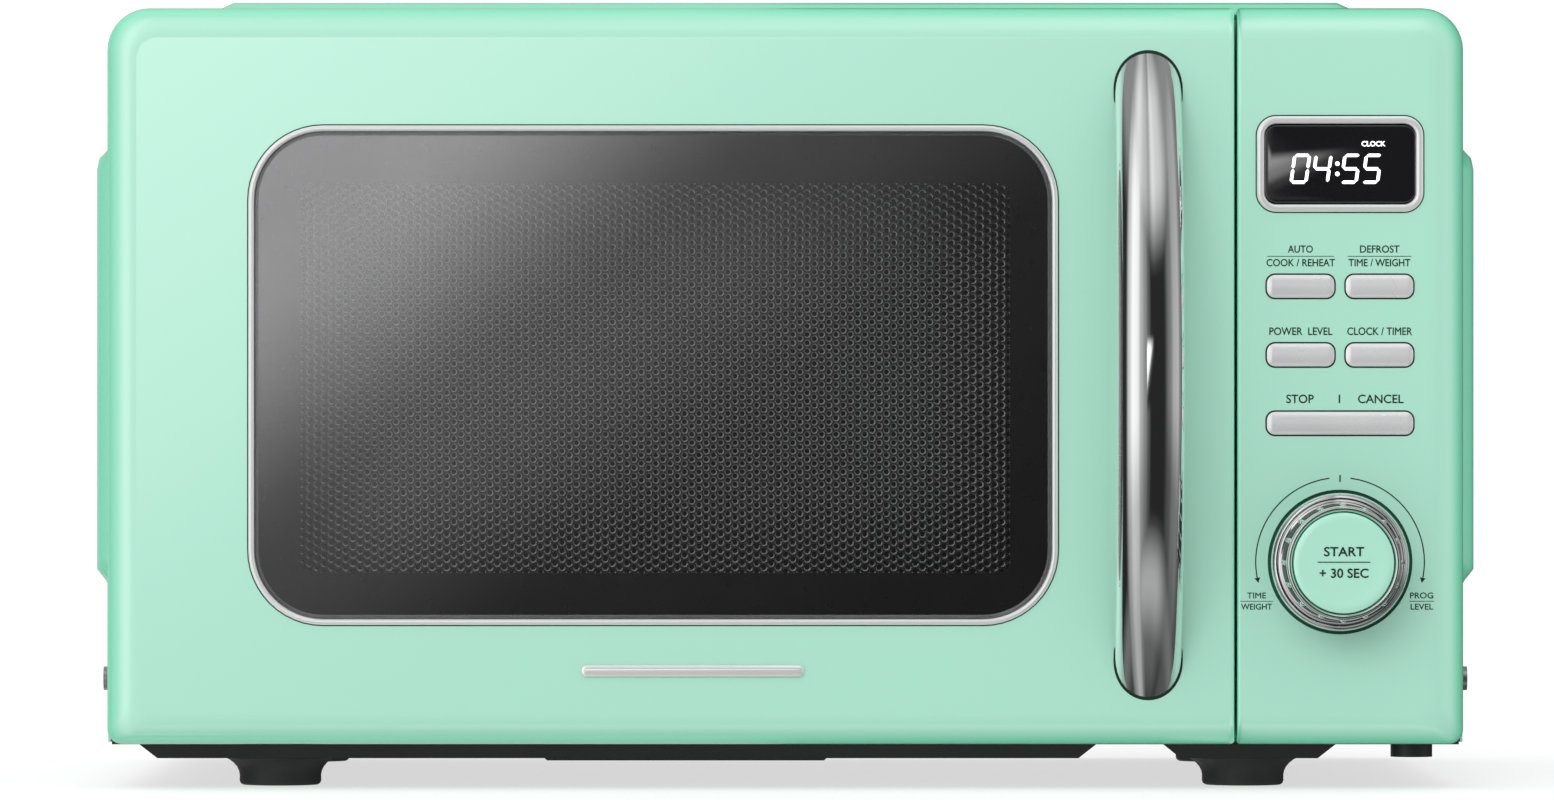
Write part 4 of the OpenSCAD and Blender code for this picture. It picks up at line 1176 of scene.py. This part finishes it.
def make_cover(m):
    """The wrapped sheet, as a grid along its section and its depth, with pressed-out panels."""
    (_, x1), (front_y, back_y), (low, z1) = span("outer_cover")
    half, top, sheet, radius = 226.5 * MM, DOOR_Z[1] - 0.2 * MM, 0.8 * MM, CROWN
    emboss_y = (front_y + 12 * MM, back_y - 31 * MM)
    side_z, top_x = (65.7 * MM, 215.9 * MM), 193.0 * MM
    slope = 7 * MM
    side_out, top_out = x1 - half, z1 - top
    # the section from the lower left, over the top, to the lower right: point and normal
    up, round_corner, along_top, back = 60, 12, 110, 90
    straight, flat = top - radius - low, 2 * (half - radius)
    section = [((-half, low + straight * k / up), (-1, 0)) for k in range(up + 1)]
    for k in range(1, round_corner + 1):
        a = math.pi - math.pi / 2 * k / round_corner
        cos, sin = math.cos(a), math.sin(a)
        section.append(((-half + radius + radius * cos, top - radius + radius * sin), (cos, sin)))
    right = [((-x, z), (-nx, nz)) for (x, z), (nx, nz) in section][::-1]
    section += [((-half + radius + flat * k / along_top, top), (0, 1))
                for k in range(1, along_top + 1)]
    section += right[1:]
    depths = [front_y + (back_y - front_y) * k / back for k in range(back + 1)]

    def rise(value, ends):
        """1 between the ends and 0 outside, with a slope at each."""
        return blend_stops(value, [(ends[0], 0), (ends[0] + slope, 1), (ends[1] - slope, 1),
                                   (ends[1], 0)])

    def push(point, normal, y):
        along = rise(y, emboss_y)
        if abs(normal[0]) == 1:
            return side_out * along * rise(point[1], side_z)
        if normal[1] == 1:
            return top_out * along * rise(point[0], (-top_x, top_x))
        return 0.0

    def skin(offset):
        grid = []
        for y in depths:
            for (x, z), (nx, nz) in section:
                d = push((x, z), (nx, nz), y) - offset
                grid.append((x + nx * d, y, z + nz * d))
        return grid

    columns, rows = len(section), len(depths)
    outer, inner = skin(0), skin(sheet)
    shift = len(outer)
    faces = []
    for r in range(rows - 1):
        for c in range(columns - 1):
            a = r * columns + c
            faces.append((a, a + 1, a + columns + 1, a + columns))
            faces.append((shift + a + columns, shift + a + columns + 1, shift + a + 1, shift + a))
    for c in range(columns - 1):
        a, b = c, (rows - 1) * columns + c
        faces.append((shift + a, shift + a + 1, a + 1, a))
        faces.append((b, b + 1, shift + b + 1, shift + b))
    for r in range(rows - 1):
        a, b = r * columns, r * columns + columns - 1
        faces.append((a, a + columns, shift + a + columns, shift + a))
        faces.append((shift + b, shift + b + columns, b + columns, b))
    cover = link("cover_shell", new_mesh("cover_shell", outer + inner, faces))
    # air slots, low on the right and high on the left, in mm: first depth, height, length
    cutters = []
    for i in range(9):
        for side, d, z, tall in ((1, 110, 42, 26), (-1, 190, 235, 20)):
            y = FACE_Y + (d + 12 * i) * MM
            box = (y - 1.5 * MM, (z - tall / 2) * MM, y + 1.5 * MM, (z + tall / 2) * MM)
            ring = outline(box, 1.45 * MM, 0, 6, 1)
            rings = [[(side * (half + off), u, w) for u, _, w in ring] for off in (-3 * MM, 3 * MM)]
            cutters.append(loft("slot", rings, m["gap_shade"]))
    carve(cover, [join("slots", cutters)])
    finish_mesh(cover, m["mint_paint"], 35)
    place(cover, "cabinet", "mint_paint", "outer_cover")


def make_feet(m):
    for node in ("front_left_foot", "front_right_foot", "rear_left_foot", "rear_right_foot"):
        spot = middle(node)
        flare = [(0.1, 0.6), (9.6, 0.6), (10.2, 0.05), (12.6, 0.0), (13.4, 0.5), (13.75, 1.4),
                 (13.7, 3.2), (13.95, 4.6), (14.6, 6.0), (15.7, 7.3), (17.1, 8.4), (18.5, 9.1),
                 (18.5, 9.4), (4.1, 9.4), (4.1, 13.4), (0.1, 13.5)]
        foot = lathe(node + "_piece", (spot.x, spot.y, 0), (0, 0, 1), flare, m["foot_rubber"], 64, 30)
        place(foot, "cabinet", "foot_rubber", node)


# ---- everything ------------------------------------------------------------


def finish_cad_nodes(m):
    """The CAD nodes that stay take their slot's procedural material."""
    slots = {part["node"]: part["material_slot"] for part in frame["record"]["subparts"]}
    for name, node in NODES.items():
        material = m.get(slots[name])
        if material is None or node.hide_render:
            continue
        if not node.material_slots:
            node.data.materials.append(material)
        for used in node.material_slots:
            used.material = material


make_camera()
bpy.context.scene.view_settings.view_transform = "Standard"
make_world(1.09, 0.36, 0.10)
make_floor()
make_dome()
key = area_light("key", (-0.7, FACE_Y - 3.6, 2.0), (0, FACE_Y, 0.14), (3.2, 1.8), 78)
key.visible_glossy = False

materials = make_materials()
make_door(materials)
make_panel(materials)
make_buttons(materials)
make_window(materials)
make_screen(materials)
make_handle(materials)
make_badge(materials)
make_display(materials)
make_labels(materials)
make_dial(materials)
make_spring(materials)
make_cover(materials)
make_feet(materials)
finish_cad_nodes(materials)
